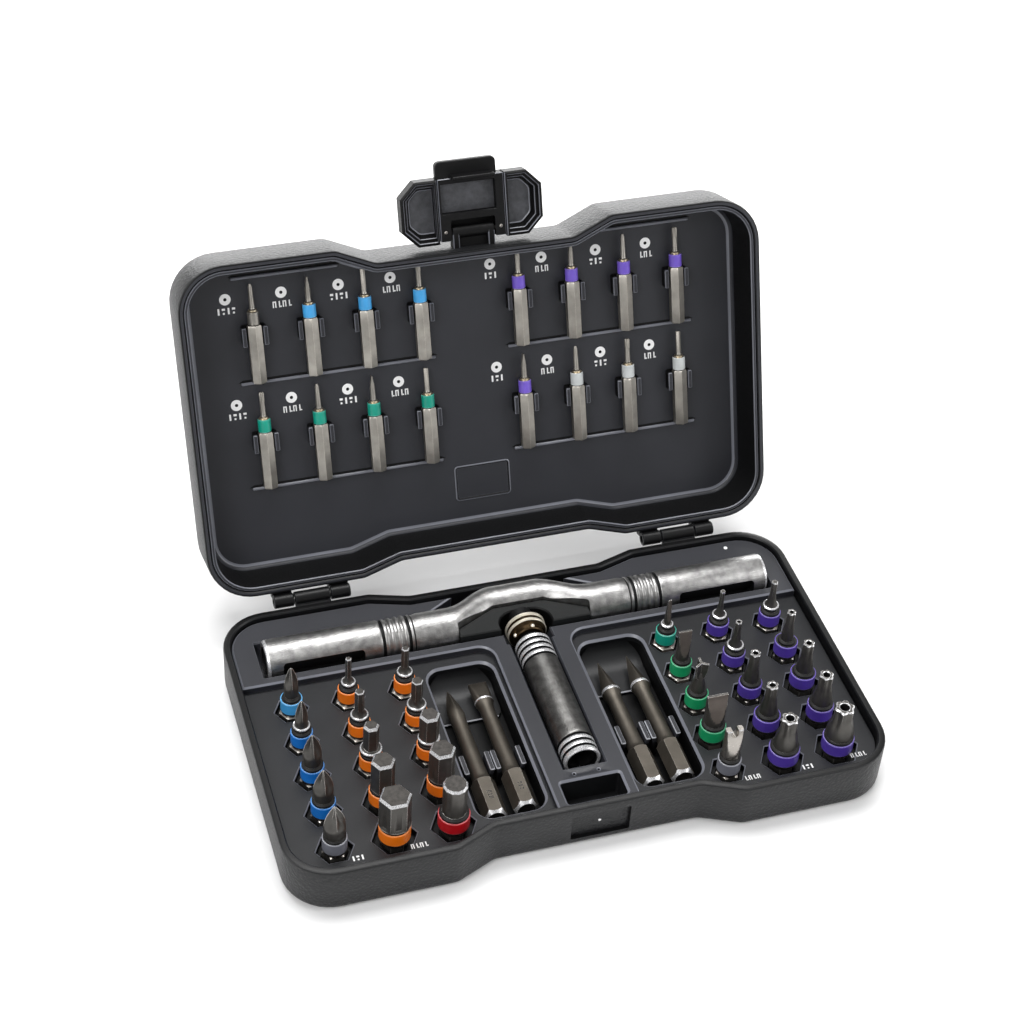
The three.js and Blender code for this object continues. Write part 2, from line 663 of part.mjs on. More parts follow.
function stemBarrel() {
  const profile = [
    [0, STEM_FRONT],
    [STEM_R - 0.5, STEM_FRONT],
    [STEM_R, STEM_FRONT + 0.5],
    ...gripGrooves(STEM_R, STEM_FRONT + 1.2, GROOVE_PITCH, 3),
    ...gripGrooves(STEM_R, STEM_BACK - 9.4, GROOVE_PITCH, 4),
    [STEM_R, STEM_BACK - 0.5],
    [STEM_R - 0.5, STEM_BACK],
    [SPINDLE_R, STEM_BACK],
    [SPINDLE_R, SPINDLE_END],
    [0, SPINDLE_END],
  ];
  const bore = rodY(SOCKET_R + GAP, [STEM_FRONT - CUT, STEM_FRONT + SOCKET_DEPTH + 6], MIDDLE_X, HANDLE_Z);
  return turnedY(profile, MIDDLE_X, HANDLE_Z).subtract(bore);
}

function bitSocket() {
  const [front, back] = [STEM_FRONT + 1.4, STEM_FRONT + SOCKET_DEPTH + 1];
  const hex = hexRodAlongY(SOCKET_AF, [front - 1, back + 1], MIDDLE_X, HANDLE_Z);
  return rodY(SOCKET_R, [front, back], MIDDLE_X, HANDLE_Z).subtract(hex);
}

function hexRodAlongY(flats, span, x, z, turn = Math.PI / 6) {
  return standingPrism(hexagon(flats, turn, [x, z]), span);
}

function socketMagnet() {
  const front = STEM_FRONT + SOCKET_DEPTH + 1.4;
  return rodY(SOCKET_R - 0.5, [front, front + 4], MIDDLE_X, HANDLE_Z, BIT_SIDES);
}

// ---- bits ----------------------------------------------------------------------------------------

// Shank, ring and neck of a standing bit, with its foot at the origin.
function bitBody(ring, neck) {
  const [low, high] = RING_Z;
  const profile = [
    [0, low - RING_LEAD],
    [ring - 0.5, low - RING_LEAD],
    [ring, low],
    [ring, high],
    [neck, SHOULDER_Z],
    [0, SHOULDER_Z],
  ];
  return prism(hexagon(BIT_AF), [0, low]).add(turnedZ(profile));
}

const LOW = RING_Z[1] - 0.5; // where every tip starts, inside the ring
const STAR_Z = 18;

const hexTip = (size) => prism(hexagon(size), [LOW, BIT_LENGTH]);

const splineTip = (radius) => prism(regularPolygon(12, radius), [LOW, BIT_LENGTH]);

// A cone with four flutes that leave a cross at the point.
function crossTip(radius) {
  const cone = turnedZ([[0, LOW], [radius, LOW], [radius, 19], [0.5, BIT_LENGTH], [0, BIT_LENGTH]]);
  const [near, far] = [0.35 * radius, 3 * radius];
  const wide = 0.5 * radius;
  const corners = [[near, near], [far, wide], [far, far], [wide, far]];
  const flute = corners.map(([x, y]) => new THREE.Vector2(x, y));
  const flutes = [0, 1, 2, 3].map((i) => {
    const quarterTurns = (i * Math.PI) / 2;
    const outline = flute.map((point) => point.clone().rotateAround(new THREE.Vector2(), quarterTurns));
    return prism(outline, [18.4, BIT_LENGTH + CUT]);
  });
  return cone.subtract(joined(flutes));
}

function starOutline(radius) {
  const points = [];
  for (let i = 0; i < 12; i += 1) {
    const r = i % 2 ? radius * 0.78 : radius;
    points.push(new THREE.Vector2(r * Math.cos((i * Math.PI) / 6), r * Math.sin((i * Math.PI) / 6)));
  }
  return points;
}

// A six-lobed tip, with a pin hole where it is a tamper-proof one.
function starTip(radius, drilled) {
  const core = turnedZ([[0, LOW], [radius * 1.25, LOW], [radius * 0.95, STAR_Z + 1.5], [0, STAR_Z + 1.5]]);
  const tip = core.add(prism(starOutline(radius), [STAR_Z, BIT_LENGTH]));
  const hole = turnedZ(rodProfile(radius * 0.4, [22, BIT_LENGTH + CUT]), 6);
  return drilled ? tip.subtract(hole) : tip;
}

function bladeTip(width, thickness, neck) {
  const round = turnedZ([[0, LOW], [neck, LOW], [neck, 17], [0, 17]]);
  const blade = new THREE.BoxGeometry(width, 2 * neck, BIT_LENGTH - 16);
  const position = blade.attributes.position;
  for (let i = 0; i < position.count; i += 1) {
    if (position.getZ(i) > 0) {
      position.setY(i, (position.getY(i) * thickness) / (2 * neck));
    }
  }
  blade.translate(0, 0, (BIT_LENGTH + 16) / 2);
  return round.add(solid(blade));
}

function prongTip(radius) {
  const tube = turnedZ([[0, LOW], [radius, LOW], [radius, BIT_LENGTH], [0, BIT_LENGTH]]);
  const slot = block([-0.9, 0.9], [-radius - 1, radius + 1], [19, BIT_LENGTH + 1]);
  const hole = turnedZ(rodProfile(radius * 0.5, [19, BIT_LENGTH + CUT]));
  return tube.subtract(slot).subtract(hole);
}

function forkTip(radius) {
  const core = turnedZ([[0, LOW], [radius, LOW], [radius * 0.6, 21], [0, 21]]);
  const wings = [0, 1, 2].map((i) => {
    const wing = new THREE.BoxGeometry(radius * 1.5, 0.8, 6);
    wing.translate(radius * 0.75, 0, BIT_LENGTH - 3);
    wing.rotateZ((i * 2 * Math.PI) / 3);
    return solid(wing);
  });
  return joined([core, ...wings]);
}

const crossBit = (ring, radius) => ({ kind: 'cross_bit', ring, neck: radius, tip: () => crossTip(radius) });
const hexBit = (ring, size) => ({ kind: 'hex_bit', ring, neck: size / 2, tip: () => hexTip(size) });
const splineBit = (ring) => ({ kind: 'spline_bit', ring, neck: 3.4, tip: () => splineTip(3.5) });
const forkBit = (ring) => ({ kind: 'fork_bit', ring, neck: 2.2, tip: () => forkTip(1.9) });
const prongBit = (ring) => ({ kind: 'prong_bit', ring, neck: 2.6, tip: () => prongTip(2.6) });

function starBit(ring, radius, drilled = true) {
  return { kind: 'star_bit', ring, neck: radius * 1.2, tip: () => starTip(radius, drilled) };
}

function slotBit(ring, width, thickness) {
  const neck = ring - 0.9;
  const tip = () => bladeTip(width, thickness, Math.min(width / 2, neck));
  return { kind: 'slot_bit', ring, neck, tip };
}

// Each column from back to front. The first size is the coloured ring's radius.
function bitColumns() {
  const [near, middle, far] = BIT_COLUMNS;
  return [
    [-far, [
      crossBit(3.2, 1.9), crossBit(3.2, 2.1), crossBit(3.4, 2.5), crossBit(3.5, 2.7), crossBit(3.5, 2.9),
    ]],
    [-middle, [hexBit(3.1, 1.6), hexBit(3.2, 2.5), hexBit(3.3, 4), hexBit(3.9, 6), hexBit(4.5, 8)]],
    [-near, [hexBit(3.1, 2), hexBit(3.2, 3), hexBit(3.4, 4.6), hexBit(4, 6.4), splineBit(4.5)]],
    [near, [
      slotBit(3.1, 1.8, 0.5), slotBit(3.2, 3.4, 0.8), forkBit(3.4), slotBit(3.8, 5.6, 1), prongBit(3.4),
    ]],
    [middle, [
      starBit(3.3, 0.8, false), starBit(3.4, 1.1), starBit(3.5, 1.7), starBit(3.9, 1.9), starBit(4.5, 2.6),
    ]],
    [far, [
      starBit(3.3, 1, false), starBit(3.5, 1.4), starBit(3.8, 1.8), starBit(3.9, 2.2), starBit(4.6, 3),
    ]],
  ];
}

function standingBits() {
  const counts = {};
  return bitColumns().flatMap(([x, bits]) => bits.map((bit, row) => {
    counts[bit.kind] = (counts[bit.kind] ?? 0) + 1;
    return { ...bit, x, y: BIT_ROWS[row], name: `${bit.kind}_${counts[bit.kind]}` };
  }));
}

const standingBit = (bit) => bitBody(bit.ring, bit.neck).add(bit.tip());

// A long bit lying along Y, its shank's end at y = 0 and its axis through the origin.
function longBit(length, tip) {
  const shank = hexRodAlongY(BIT_AF, [0, LONG_SHANK], 0, 0);
  const profile = [
    [0, LONG_SHANK - 1],
    [2.9, LONG_SHANK - 1],
    [2.9, LONG_SHANK + 0.6],
    [2.2, LONG_SHANK + 2],
    ...tip(length),
  ];
  return shank.add(turnedY(profile, 0, 0, BIT_SIDES));
}

function crossEnd(length) {
  return [[2.2, length - 11], [2.9, length - 9.5], [2.9, length - 7], [0.5, length], [0, length]];
}

const awlEnd = (length) => [[2.3, length - 12], [2, length - 6], [0.4, length], [0, length]];

function longSlotBit(length) {
  const neckEnd = (end) => [[2.2, end - 3], [2.8, end - 2], [2.8, end], [0, end]];
  const body = longBit(length - 6, neckEnd);
  return body.add(block([-2.7, 2.7], [length - 7, length], [-0.6, 0.6]));
}

// ---- assembly ------------------------------------------------------------------------------------

const set = new THREE.Group();

function addTo(group, name, shape, look, place = [0, 0, 0]) {
  const mesh = new THREE.Mesh(geometryOf(shape), new THREE.MeshStandardMaterial(look));
  mesh.name = name;
  mesh.position.set(...place);
  group.add(mesh);
}

addTo(set, 'base_shell', baseShell(), black);
addTo(set, 'base_tray', baseTray(), darkGrey);
for (const [name, x] of [['hinge_pin_left', -HINGE_X], ['hinge_pin_right', HINGE_X]]) {
  const span = [x - HINGE_HALF + 0.5, x + HINGE_HALF - 0.5];
  addTo(set, name, rodX(PIN_R, span, HINGE_Y, HINGE_Z, BIT_SIDES), steel);
}

const lid = new THREE.Group();
lid.position.set(0, HINGE_Y, HINGE_Z);
lid.rotation.x = -THREE.MathUtils.degToRad(OPEN_DEG);
set.add(lid);
const fromHinge = [0, -HINGE_Y, -HINGE_Z];
addTo(lid, 'lid_shell', lidShell(), black, fromHinge);
addTo(lid, 'lid_tray', lidTray(), darkGrey, fromHinge);
LID_ROW_TIPS.forEach((tipY, row) => {
  for (const [name, side] of [['left', -1], ['right', 1]]) {
    addTo(lid, `lid_bits_${name}_${row + 1}`, lidBitRow(side, tipY), pewter, fromHinge);
  }
});

const latch = new THREE.Group();
latch.position.set(MIDDLE_X, LATCH_Y - HINGE_Y, LATCH_Z - HINGE_Z);
latch.rotation.x = -Math.PI / 2;
lid.add(latch);
addTo(latch, 'latch_cover', latchCover(), black);
addTo(latch, 'latch_hook_plate', latchHookPlate(), darkGrey);
addTo(latch, 'latch_pin', latchPin(), steel);

addTo(set, 'handle_yoke', handleYoke(), aluminium);
for (const [name, side] of [['left', -1], ['right', 1]]) {
  addTo(set, `arm_${name}`, handleArm(side), aluminium);
  addTo(set, `arm_cap_${name}`, armCap(side), aluminium);
}
addTo(set, 'yoke_liner', yokeLiner(), black);
addTo(set, 'ratchet_core', ratchetCore(), steel);
addTo(set, 'selector_collar', selectorCollar(), brass);
addTo(set, 'stem_barrel', stemBarrel(), aluminium);
addTo(set, 'bit_socket', bitSocket(), steel);
addTo(set, 'socket_magnet', socketMagnet(), steel);

for (const bit of standingBits()) {
  addTo(set, bit.name, standingBit(bit), steel, [bit.x, bit.y, BIT_FLOOR]);
}

const pocketMiddle = (POCKET_IN + POCKET_OUT) / 2;
const longBits = [
  ['long_bit_awl', -1, -1, -37.4, longBit(50, awlEnd)],
  ['long_bit_slot', -1, 1, -36.4, longSlotBit(50)],
  ['long_bit_cross_1', 1, -1, -37, longBit(50, crossEnd)],
  ['long_bit_cross_2', 1, 1, -36.4, longBit(50, crossEnd)],
];
for (const [name, side, edge, y, shape] of longBits) {
  const x = MIDDLE_X + side * pocketMiddle + (edge * LONG_BIT_PITCH) / 2;
  addTo(set, name, shape, steel, [x, y, LONG_BIT_Z]);
}

export default set;
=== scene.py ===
"""Looks for the precision screwdriver set: an open case with a T-handle driver and its bits."""

import math

import bmesh
import bpy
from mathutils import Matrix, Vector


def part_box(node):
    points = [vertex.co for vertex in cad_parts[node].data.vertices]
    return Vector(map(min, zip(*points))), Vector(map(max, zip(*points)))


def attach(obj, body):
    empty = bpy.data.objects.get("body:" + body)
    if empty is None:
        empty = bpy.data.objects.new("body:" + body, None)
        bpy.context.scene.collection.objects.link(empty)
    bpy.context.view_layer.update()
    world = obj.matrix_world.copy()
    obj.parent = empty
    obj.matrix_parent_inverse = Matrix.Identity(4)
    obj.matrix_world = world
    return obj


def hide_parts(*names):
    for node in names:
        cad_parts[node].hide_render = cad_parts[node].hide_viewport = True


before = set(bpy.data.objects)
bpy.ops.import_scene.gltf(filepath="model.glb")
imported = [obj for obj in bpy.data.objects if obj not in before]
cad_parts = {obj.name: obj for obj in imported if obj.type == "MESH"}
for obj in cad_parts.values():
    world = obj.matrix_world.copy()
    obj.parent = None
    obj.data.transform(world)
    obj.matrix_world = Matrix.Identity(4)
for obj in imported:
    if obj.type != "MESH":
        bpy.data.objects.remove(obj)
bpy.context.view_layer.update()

# ---- sizes in millimetres, in the CAD frame ------------------------------------------------
MM = 0.001
base_low, base_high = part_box("base_shell")
INSIDE = 0.002  # keeps the visible case within the CAD box
HALF_W = base_high.x / MM - INSIDE
FRONT = base_low.y / MM + INSIDE
HALF_D = -FRONT
CORNER_R = 14
WAIST_FRONT = 5.2
WAIST_BACK = 3.6
WAIST_INNER = 30
WAIST_OUTER = 42
WAIST_FILLET = 6
BASE_H = 15.9
WALL = 2.2
LID_RIM = 16.2
LID_TOP = 37
LID_WALL = 1.6
LID_FACE = 30.2
HINGE_Y = 53.65
HINGE_Z = 16.4
HINGE_X = 58.8
HINGE_HALF = 11.75
KNUCKLE_HALF = 5.4
KNUCKLE_R = 2.1
KNUCKLE_BORE = 1.2
OPEN_DEG = 112
GAP = 0.3
MIDDLE = 0.6
FIELD = 12.1
SHELF = 14.5
SHELF_Y = 22.6
SPINE_HALF = 12
HANDLE_Y = 32.7
AXIS_Z = 14
ARM_R = 6.1
ARM_SEAM = 34
ARM_END = 78.6
BOW = 6.8
BOW_R = 5.3
STEM_R = 5.5
COLLAR_R = 6.2
SHANK = 6.35  # across the flats of a quarter-inch bit
FOOT = 4.2
TOP = 25
LID_AXIS = LID_FACE - GAP - 2
LID_LENGTH = 30
PRINT_HEIGHT = 0.05
ROUND = 48  # points around a turned piece


def shift(x, y, z=0):
    return Matrix.Translation((x, y, z))


ALONG_X = Matrix(((0, 0, 1), (1, 0, 0), (0, 1, 0))).to_4x4()
ALONG_Y = Matrix(((0, 1, 0), (0, 0, 1), (1, 0, 0))).to_4x4()
FACING_FRONT = Matrix(((1, 0, 0), (0, 0, -1), (0, 1, 0))).to_4x4()
FLIP_Z = Matrix.Diagonal((1, 1, -1, 1))
HINGE = shift(0, HINGE_Y, HINGE_Z)
OPEN = HINGE @ Matrix.Rotation(-math.radians(OPEN_DEG), 4, "X") @ HINGE.inverted()
LATCH_AXIS = shift(MIDDLE, -50.3, 22.5)
LATCH = OPEN @ LATCH_AXIS @ Matrix.Rotation(-math.pi / 2, 4, "X")


NOISE_RANGE = (0.3, 0.7)  # where nearly all of a noise texture lies


# ---- materials ---------------------------------------------------------------------------------
def linear(colour):
    """An sRGB colour from 0 to 255 as linear values."""
    def channel(value):
        value /= 255
        return value / 12.92 if value <= 0.04045 else ((value + 0.055) / 1.055) ** 2.4
    return (*map(channel, colour), 1)


def material(name, colour, roughness, metallic=0.0, grain=1800, bump=0.15, mottle=0.25,
             mottle_scale=60, spread=0.12, painted_edge_highlight=None, coat=0.0, pebble=0, gloss=0.5):
    """A procedural look: grain in bump and roughness, patches in colour, and a painted edge highlight, a
    lighter colour near edges, where one is given.
    """
    made = bpy.data.materials.new(name)
    made.use_nodes = True
    nodes, links = made.node_tree.nodes, made.node_tree.links

    def feed(target, inputs):
        for key, value in inputs.items():
            if isinstance(value, bpy.types.NodeSocket):
                links.new(value, target.inputs[key])
            else:
                target.inputs[key].default_value = value

    def node(kind, output, inputs, **settings):
        added = nodes.new("ShaderNode" + kind)
        for key, value in settings.items():
            setattr(added, key, value)
        feed(added, inputs)
        return added.outputs[output]

    def remap(value, source, target):
        return node("MapRange", "Result", {"Value": value, "From Min": source[0], "From Max": source[1],
                                           "To Min": target[0], "To Max": target[1]})

    place = node("TexCoord", "Object", {})
    patches = node("TexNoise", "Fac", {"Vector": place, "Scale": mottle_scale, "Detail": 5})
    speckle = node("TexNoise", "Fac", {"Vector": place, "Scale": grain, "Detail": 2})
    shades = remap(patches, NOISE_RANGE, (1 - mottle, 1 + mottle))
    base = node("VectorMath", "Vector", {0: linear(colour)[:3], "Scale": shades}, operation="SCALE")
    height = speckle
    if pebble:
        cells = node("TexVoronoi", "Distance", {"Vector": place, "Scale": pebble}, feature="SMOOTH_F1")
        height = node("Math", "Value", {0: speckle, 1: 0.4, 2: cells}, operation="MULTIPLY_ADD")
    # Painted edge highlight: the lighter colour is mixed in where the bevelled normal turns from the true
    # one, along every edge.
    if painted_edge_highlight:
        light, amount = painted_edge_highlight
        rounded = node("Bevel", "Normal", {"Radius": 0.0003}, samples=4)
        flat = node("NewGeometry", "Normal", {})
        facing = node("VectorMath", "Value", {0: rounded, 1: flat}, operation="DOT_PRODUCT")
        highlight_mask = remap(facing, (0.995, 0.9), (0, amount))
        edge = node("Math", "Value", {0: highlight_mask, 1: shades}, operation="MULTIPLY")
        base = node("Mix", "Result", {"B": linear(light), "Factor": edge, "A": base}, data_type="RGBA")
    feed(nodes["Principled BSDF"], {
        "Base Color": base,
        "Metallic": metallic,
        "Coat Weight": coat,
        "Specular IOR Level": gloss,
        "Roughness": remap(speckle, NOISE_RANGE, (roughness - spread / 2, roughness + spread / 2)),
        "Normal": node("Bump", "Normal", {"Strength": bump, "Distance": 0.0002, "Height": height}),
    })
    return made


# Where a material gets a lighter edge colour, that colour is a painted edge highlight.
BLACK = material("case_outside", (18, 19, 21), 0.46, grain=2600, bump=1.0, mottle=0.25,
                 mottle_scale=90, pebble=1150, gloss=0.42)
RIM = material("case_rim", (7, 7, 8), 0.4, grain=3000, bump=0.08, mottle=0.2,
               painted_edge_highlight=((64, 66, 70), 0.5), gloss=0.3)
# Painted shade: near-black for inner walls, holes, pockets, bores, hollows and gaps where shade falls. The
# lid's label dots use the same black.
PAINTED_SHADE_BLACK = material("painted_shade_black", (4, 4, 5), 0.55, grain=2500, bump=0.1, mottle=0.2, gloss=0.25)
TRAY = material("tray_grey", (43, 44, 49), 0.42, grain=3200, bump=0.12, mottle=0.12,
                mottle_scale=35, painted_edge_highlight=((105, 107, 114), 0.55), gloss=0.4)
# Painted shade: the recessed field floor among the standing bits, darker than the shelf of the same tray.
FIELD_SHADE = material("field_shade", (25, 26, 29), 0.44, grain=3200, bump=0.12, mottle=0.2,
                      mottle_scale=35, gloss=0.36)
GLINT = material("tab_glint", (176, 178, 184), 0.3, grain=3000, bump=0.06, mottle=0.12)
SHADE = material("tray_shade", (18, 19, 21), 0.45, grain=3000, bump=0.1, mottle=0.12, gloss=0.4)
# Painted highlight: a light grey for chamfers, rims and crests, standing in for light caught on the edges.
EDGE_HIGHLIGHT = material("tray_edge_highlight", (112, 114, 122), 0.34, grain=3000, bump=0.06, mottle=0.15)
PANEL = material("latch_panel", (62, 63, 67), 0.6, grain=1600, bump=0.6, mottle=0.3,
                 mottle_scale=500)
LATCH_BLACK = material("latch_black", (4, 4, 5), 0.5, grain=2600, bump=0.1, mottle=0.2, gloss=0.25)
LINER = material("liner_black", (14, 16, 16), 0.5, grain=2600, bump=0.1, mottle=0.15, gloss=0.35)
ALUMINIUM = material("handle_aluminium", (166, 165, 164), 0.39, 1.0, grain=2400, bump=0.45,
                     mottle=0.3, mottle_scale=420, spread=0.2)
BRIGHT = material("bright_steel", (244, 244, 246), 0.28, 0.75, grain=2000, bump=0.05, mottle=0.08)
STEM = material("stem_aluminium", (120, 119, 117), 0.36, 1.0, grain=2400, bump=0.4,
                mottle=0.32, mottle_scale=420, spread=0.16)
# Dark metal: the colour of the ratchet hub, arm end caps, socket and magnet, and a painted shade on groove
# floors, bores and window walls.
DARK_PARTS_AND_GROOVE_SHADE = material("dark_parts_and_groove_shade", (20, 20, 21), 0.5, 0.6, grain=2400, bump=0.1, mottle=0.2)
BRASS = material("collar_brass", (226, 212, 186), 0.32, 1.0, grain=2600, bump=0.05, mottle=0.1,
                 mottle_scale=260)
BRIGHT_BRASS = material("collar_bright", (250, 242, 224), 0.34, 0.75, grain=2600, bump=0.04, mottle=0.06)
BRONZE = material("collar_neck", (78, 64, 46), 0.36, 1.0, grain=2600, bump=0.08, mottle=0.2,
                  mottle_scale=260)
STEEL = material("bit_steel", (84, 82, 79), 0.42, 0.75, grain=2200, bump=0.2, mottle=0.2,
                 mottle_scale=240, painted_edge_highlight=((205, 202, 198), 0.9))
BIT_END = material("bit_end", (66, 63, 60), 0.6, 0.4, grain=2200, bump=0.3, mottle=0.35,
                   mottle_scale=900)
GROUND = material("ground_face", (112, 104, 98), 0.5, 0.6, grain=2200, bump=0.2, mottle=0.14,
                  mottle_scale=260)
FLANGE = material("flange_steel", (176, 171, 165), 0.32, 1.0, grain=2200, bump=0.08, mottle=0.15)
LONG = material("long_bit_steel", (92, 87, 80), 0.5, 0.9, grain=2200, bump=0.2, mottle=0.16,
                mottle_scale=200, painted_edge_highlight=((160, 154, 146), 0.7))
PEWTER = material("pewter_steel", (158, 154, 147), 0.4, 0.85, grain=2200, bump=0.16, mottle=0.16,
                  mottle_scale=260, painted_edge_highlight=((205, 198, 186), 0.7))
# Near-black for printed marks and dark bands on the bits, and a painted shade inside the drilled tips' holes.
MARK_AND_HOLE_SHADE = material("mark_and_hole_shade", (14, 13, 12), 0.6, grain=2600, bump=0.2, mottle=0.2)
WHITE = material("white_print", (236, 236, 236), 0.5, grain=2600, bump=0.1, mottle=0.08)
PIN = material("pin_steel", (120, 118, 116), 0.35, 1.0, grain=2200, bump=0.1, mottle=0.2)
STAGE = material("stage_white", (248.153,) * 3, 0.9, grain=300, bump=0.01, mottle=0.01)  # reflects 94%


def ring_paint(name, *colour):
    # The lighter tint is the ring's painted edge highlight.
    light = [(value + 255) / 2 for value in colour]
    return material(name, colour, 0.36, grain=2400, bump=0.12, mottle=0.12, mottle_scale=220, coat=0.1,
                    painted_edge_highlight=(light, 0.9))


PAINT = {
    "light_blue": ring_paint("ring_light_blue", 70, 168, 232),
    "blue": ring_paint("ring_blue", 18, 120, 214),
    "orange": ring_paint("ring_orange", 255, 128, 18),
    "red": ring_paint("ring_red", 190, 14, 26),
    "green": ring_paint("ring_green", 16, 156, 98),
    "teal": ring_paint("ring_teal", 8, 150, 128),
    "light_purple": ring_paint("ring_light_purple", 112, 86, 196),
    "purple": ring_paint("ring_purple", 82, 58, 166),
    "grey": ring_paint("ring_grey", 122, 124, 134),
    "white": ring_paint("ring_white", 196, 200, 200),
    "none": PEWTER,
}


# ---- the bodies and slots of the larger pieces
BASE_CASE = ("base", "case_plastic")
BASE_TRAY = ("base", "tray_plastic")
LID_CASE = ("lid", "case_plastic")
LID_TRAY = ("lid", "tray_plastic")
HANDLE = ("handle", "handle_aluminium")


# ---- shapes ------------------------------------------------------------------------------------
class Shape:
    """Points in millimetres, faces, and a look (an index of material) for each face."""

    def __init__(self):
        self.points, self.faces, self.looks = [], [], []

    def loft(self, rings, looks=0, closed=False, caps=None):
        start, count = len(self.points), len(rings[0])
        for ring in rings:
            self.points.extend(Vector(point) for point in ring)
        bands = len(rings) if closed else len(rings) - 1
        if not isinstance(looks, list):
            looks = [looks] * bands
        for band in range(bands):
            a = start + band * count
            b = start + ((band + 1) % len(rings)) * count
            for i in range(count):
                j = (i + 1) % count
                self.faces.append((a + i, a + j, b + j, b + i))
                self.looks.append(looks[band])
        if not closed:
            last = start + (len(rings) - 1) * count
            self.faces.append(tuple(reversed(range(start, start + count))))
            self.faces.append(tuple(range(last, last + count)))
            self.looks += caps or (looks[0], looks[-1])
        return self

    def add(self, other):
        start = len(self.points)
        self.points += other.points
        self.faces += [tuple(start + i for i in face) for face in other.faces]
        self.looks += other.looks
        return self

    def moved(self, matrix):
        self.points = [matrix @ point for point in self.points]
        return self


def polar(radius, z=0.0, count=ROUND):
    """A ring of points, with the radius given as a number or as a function of the angle."""
    ring = []
    for i in range(count):
        angle = 2 * math.pi * i / count
        r = radius(angle) if callable(radius) else radius
        ring.append((r * math.cos(angle), r * math.sin(angle), z))
    return ring


def ring(radius, z, look=0):
    """A ring of points, with the look of the band that follows it."""
    return polar(radius, z), look


def hexagon(flats, scale=1.0):
    """The radius of a hexagon, by its size across the flats, as a function of the angle."""
    def radius(angle):
        off = angle % (math.pi / 3) - math.pi / 6
        return scale * flats / 2 / math.cos(off)
    return radius


def lathe(profile, looks, count, matrix, closed=False):
    shape = Shape().loft([polar(radius, z, count) for radius, z in profile], looks, closed)
    return shape.moved(matrix) if matrix else shape


def outline(corners, steps):
    """A closed outline through corners [x, y, radius], each rounded by an arc."""
    points = []
    for i, (x, y, radius) in enumerate(corners):
        here = Vector((x, y))
        back = (Vector(corners[i - 1][:2]) - here).normalized()
        ahead = (Vector(corners[(i + 1) % len(corners)][:2]) - here).normalized()
        half = math.acos(max(-1, min(1, back.dot(ahead)))) / 2
        centre = here + (back + ahead).normalized() * radius / math.sin(half)
        start = here + back * radius / math.tan(half) - centre
        end = here + ahead * radius / math.tan(half) - centre
        sweep = math.atan2(start.x * end.y - start.y * end.x, start.dot(end))
        for step in range(steps + 1):
            points.append(centre + Matrix.Rotation(sweep * step / steps, 2) @ start)
    return points


def rectangle(x, y, radius, steps=4):
    corners = ((x[0], y[0]), (x[1], y[0]), (x[1], y[1]), (x[0], y[1]))
    return outline([(*corner, radius) for corner in corners], steps)


def pocket_span(side):
    """Where the long bits' pocket on this side starts and ends along x."""
    return sorted((MIDDLE + side * 13.4, MIDDLE + side * 33.6))


def about_middle(corners, steps):
    """An outline whose corners are measured from the driver's axis."""
    return outline([(MIDDLE + x, y, radius) for x, y, radius in corners], steps)


def inset(points, distance):
    """A counter-clockwise outline moved inwards."""
    moved = []
    for i, point in enumerate(points):
        a = (point - points[i - 1]).normalized()
        b = (points[(i + 1) % len(points)] - point).normalized()
        normal_a, normal_b = Vector((-a.y, a.x)), Vector((-b.y, b.x))
        miter = (normal_a + normal_b) / max(1 + normal_a.dot(normal_b), 0.4)
        moved.append(point + miter * distance)
    return moved


def at(points, z):
    return [(point[0], point[1], z) for point in points]


def plate(points, z, top, bottom=0.0, looks=None, caps=(0, 0)):
    """An outline between two heights, with chamfers of the given sizes at its ends."""
    low, high = z
    rings = [at(points, low + bottom), at(points, high - top), at(inset(points, top), high)]
    bands = [0, 1]
    if bottom:
        rings.insert(0, at(inset(points, bottom), low))
        bands.insert(0, 1)
    return Shape().loft(rings, looks if looks is not None else bands, caps=caps)


def flared(points, floor, top, flare, looks=None, caps=(0, 0)):
    """A cutting shape that opens a recess down to floor, with a chamfer where it meets the surface at top."""
    wide = inset(points, -flare)
    rings = [at(points, floor), at(points, top - flare), at(wide, top), at(wide, top + 5)]
    return Shape().loft(rings, looks if looks is not None else [0, 1, 1], caps=caps)


def case_outline(distance):
    side, back = HALF_W - distance, HALF_D - distance
    front = -back
    radius = CORNER_R - distance

    def waist(y, depth, sign):
        slide = distance * math.tan(math.atan2(depth, WAIST_OUTER - WAIST_INNER) / 2)
        set_back = y - math.copysign(depth, y)
        outer = (sign * (WAIST_OUTER + slide), y, WAIST_FILLET)
        inner = (sign * (WAIST_INNER + slide), set_back, WAIST_FILLET)
        return [outer, inner] if sign * y > 0 else [inner, outer]

    return outline([
        (-side, front, radius),
        *waist(front, WAIST_FRONT, -1),
        *waist(front, WAIST_FRONT, 1),
        (side, front, radius),
        (side, back, radius),
        *waist(back, WAIST_BACK, 1),
        *waist(back, WAIST_BACK, -1),
        (-side, back, radius),
    ], 10)


def case_loft(levels, looks, caps=None):
    return Shape().loft([at(case_outline(distance), z) for distance, z in levels], looks, caps=caps)


def arc(start, end, steps, level=False):
    """Points along a quarter ellipse, leaving start along the second axis, or along the first if level."""
    points = []
    for step in range(steps + 1):
        t = math.pi / 2 * step / steps
        along = (math.sin(t), 1 - math.cos(t)) if level else (1 - math.cos(t), math.sin(t))
        points.append(tuple(a + (b - a) * part for a, b, part in zip(start, end, along)))
    return points


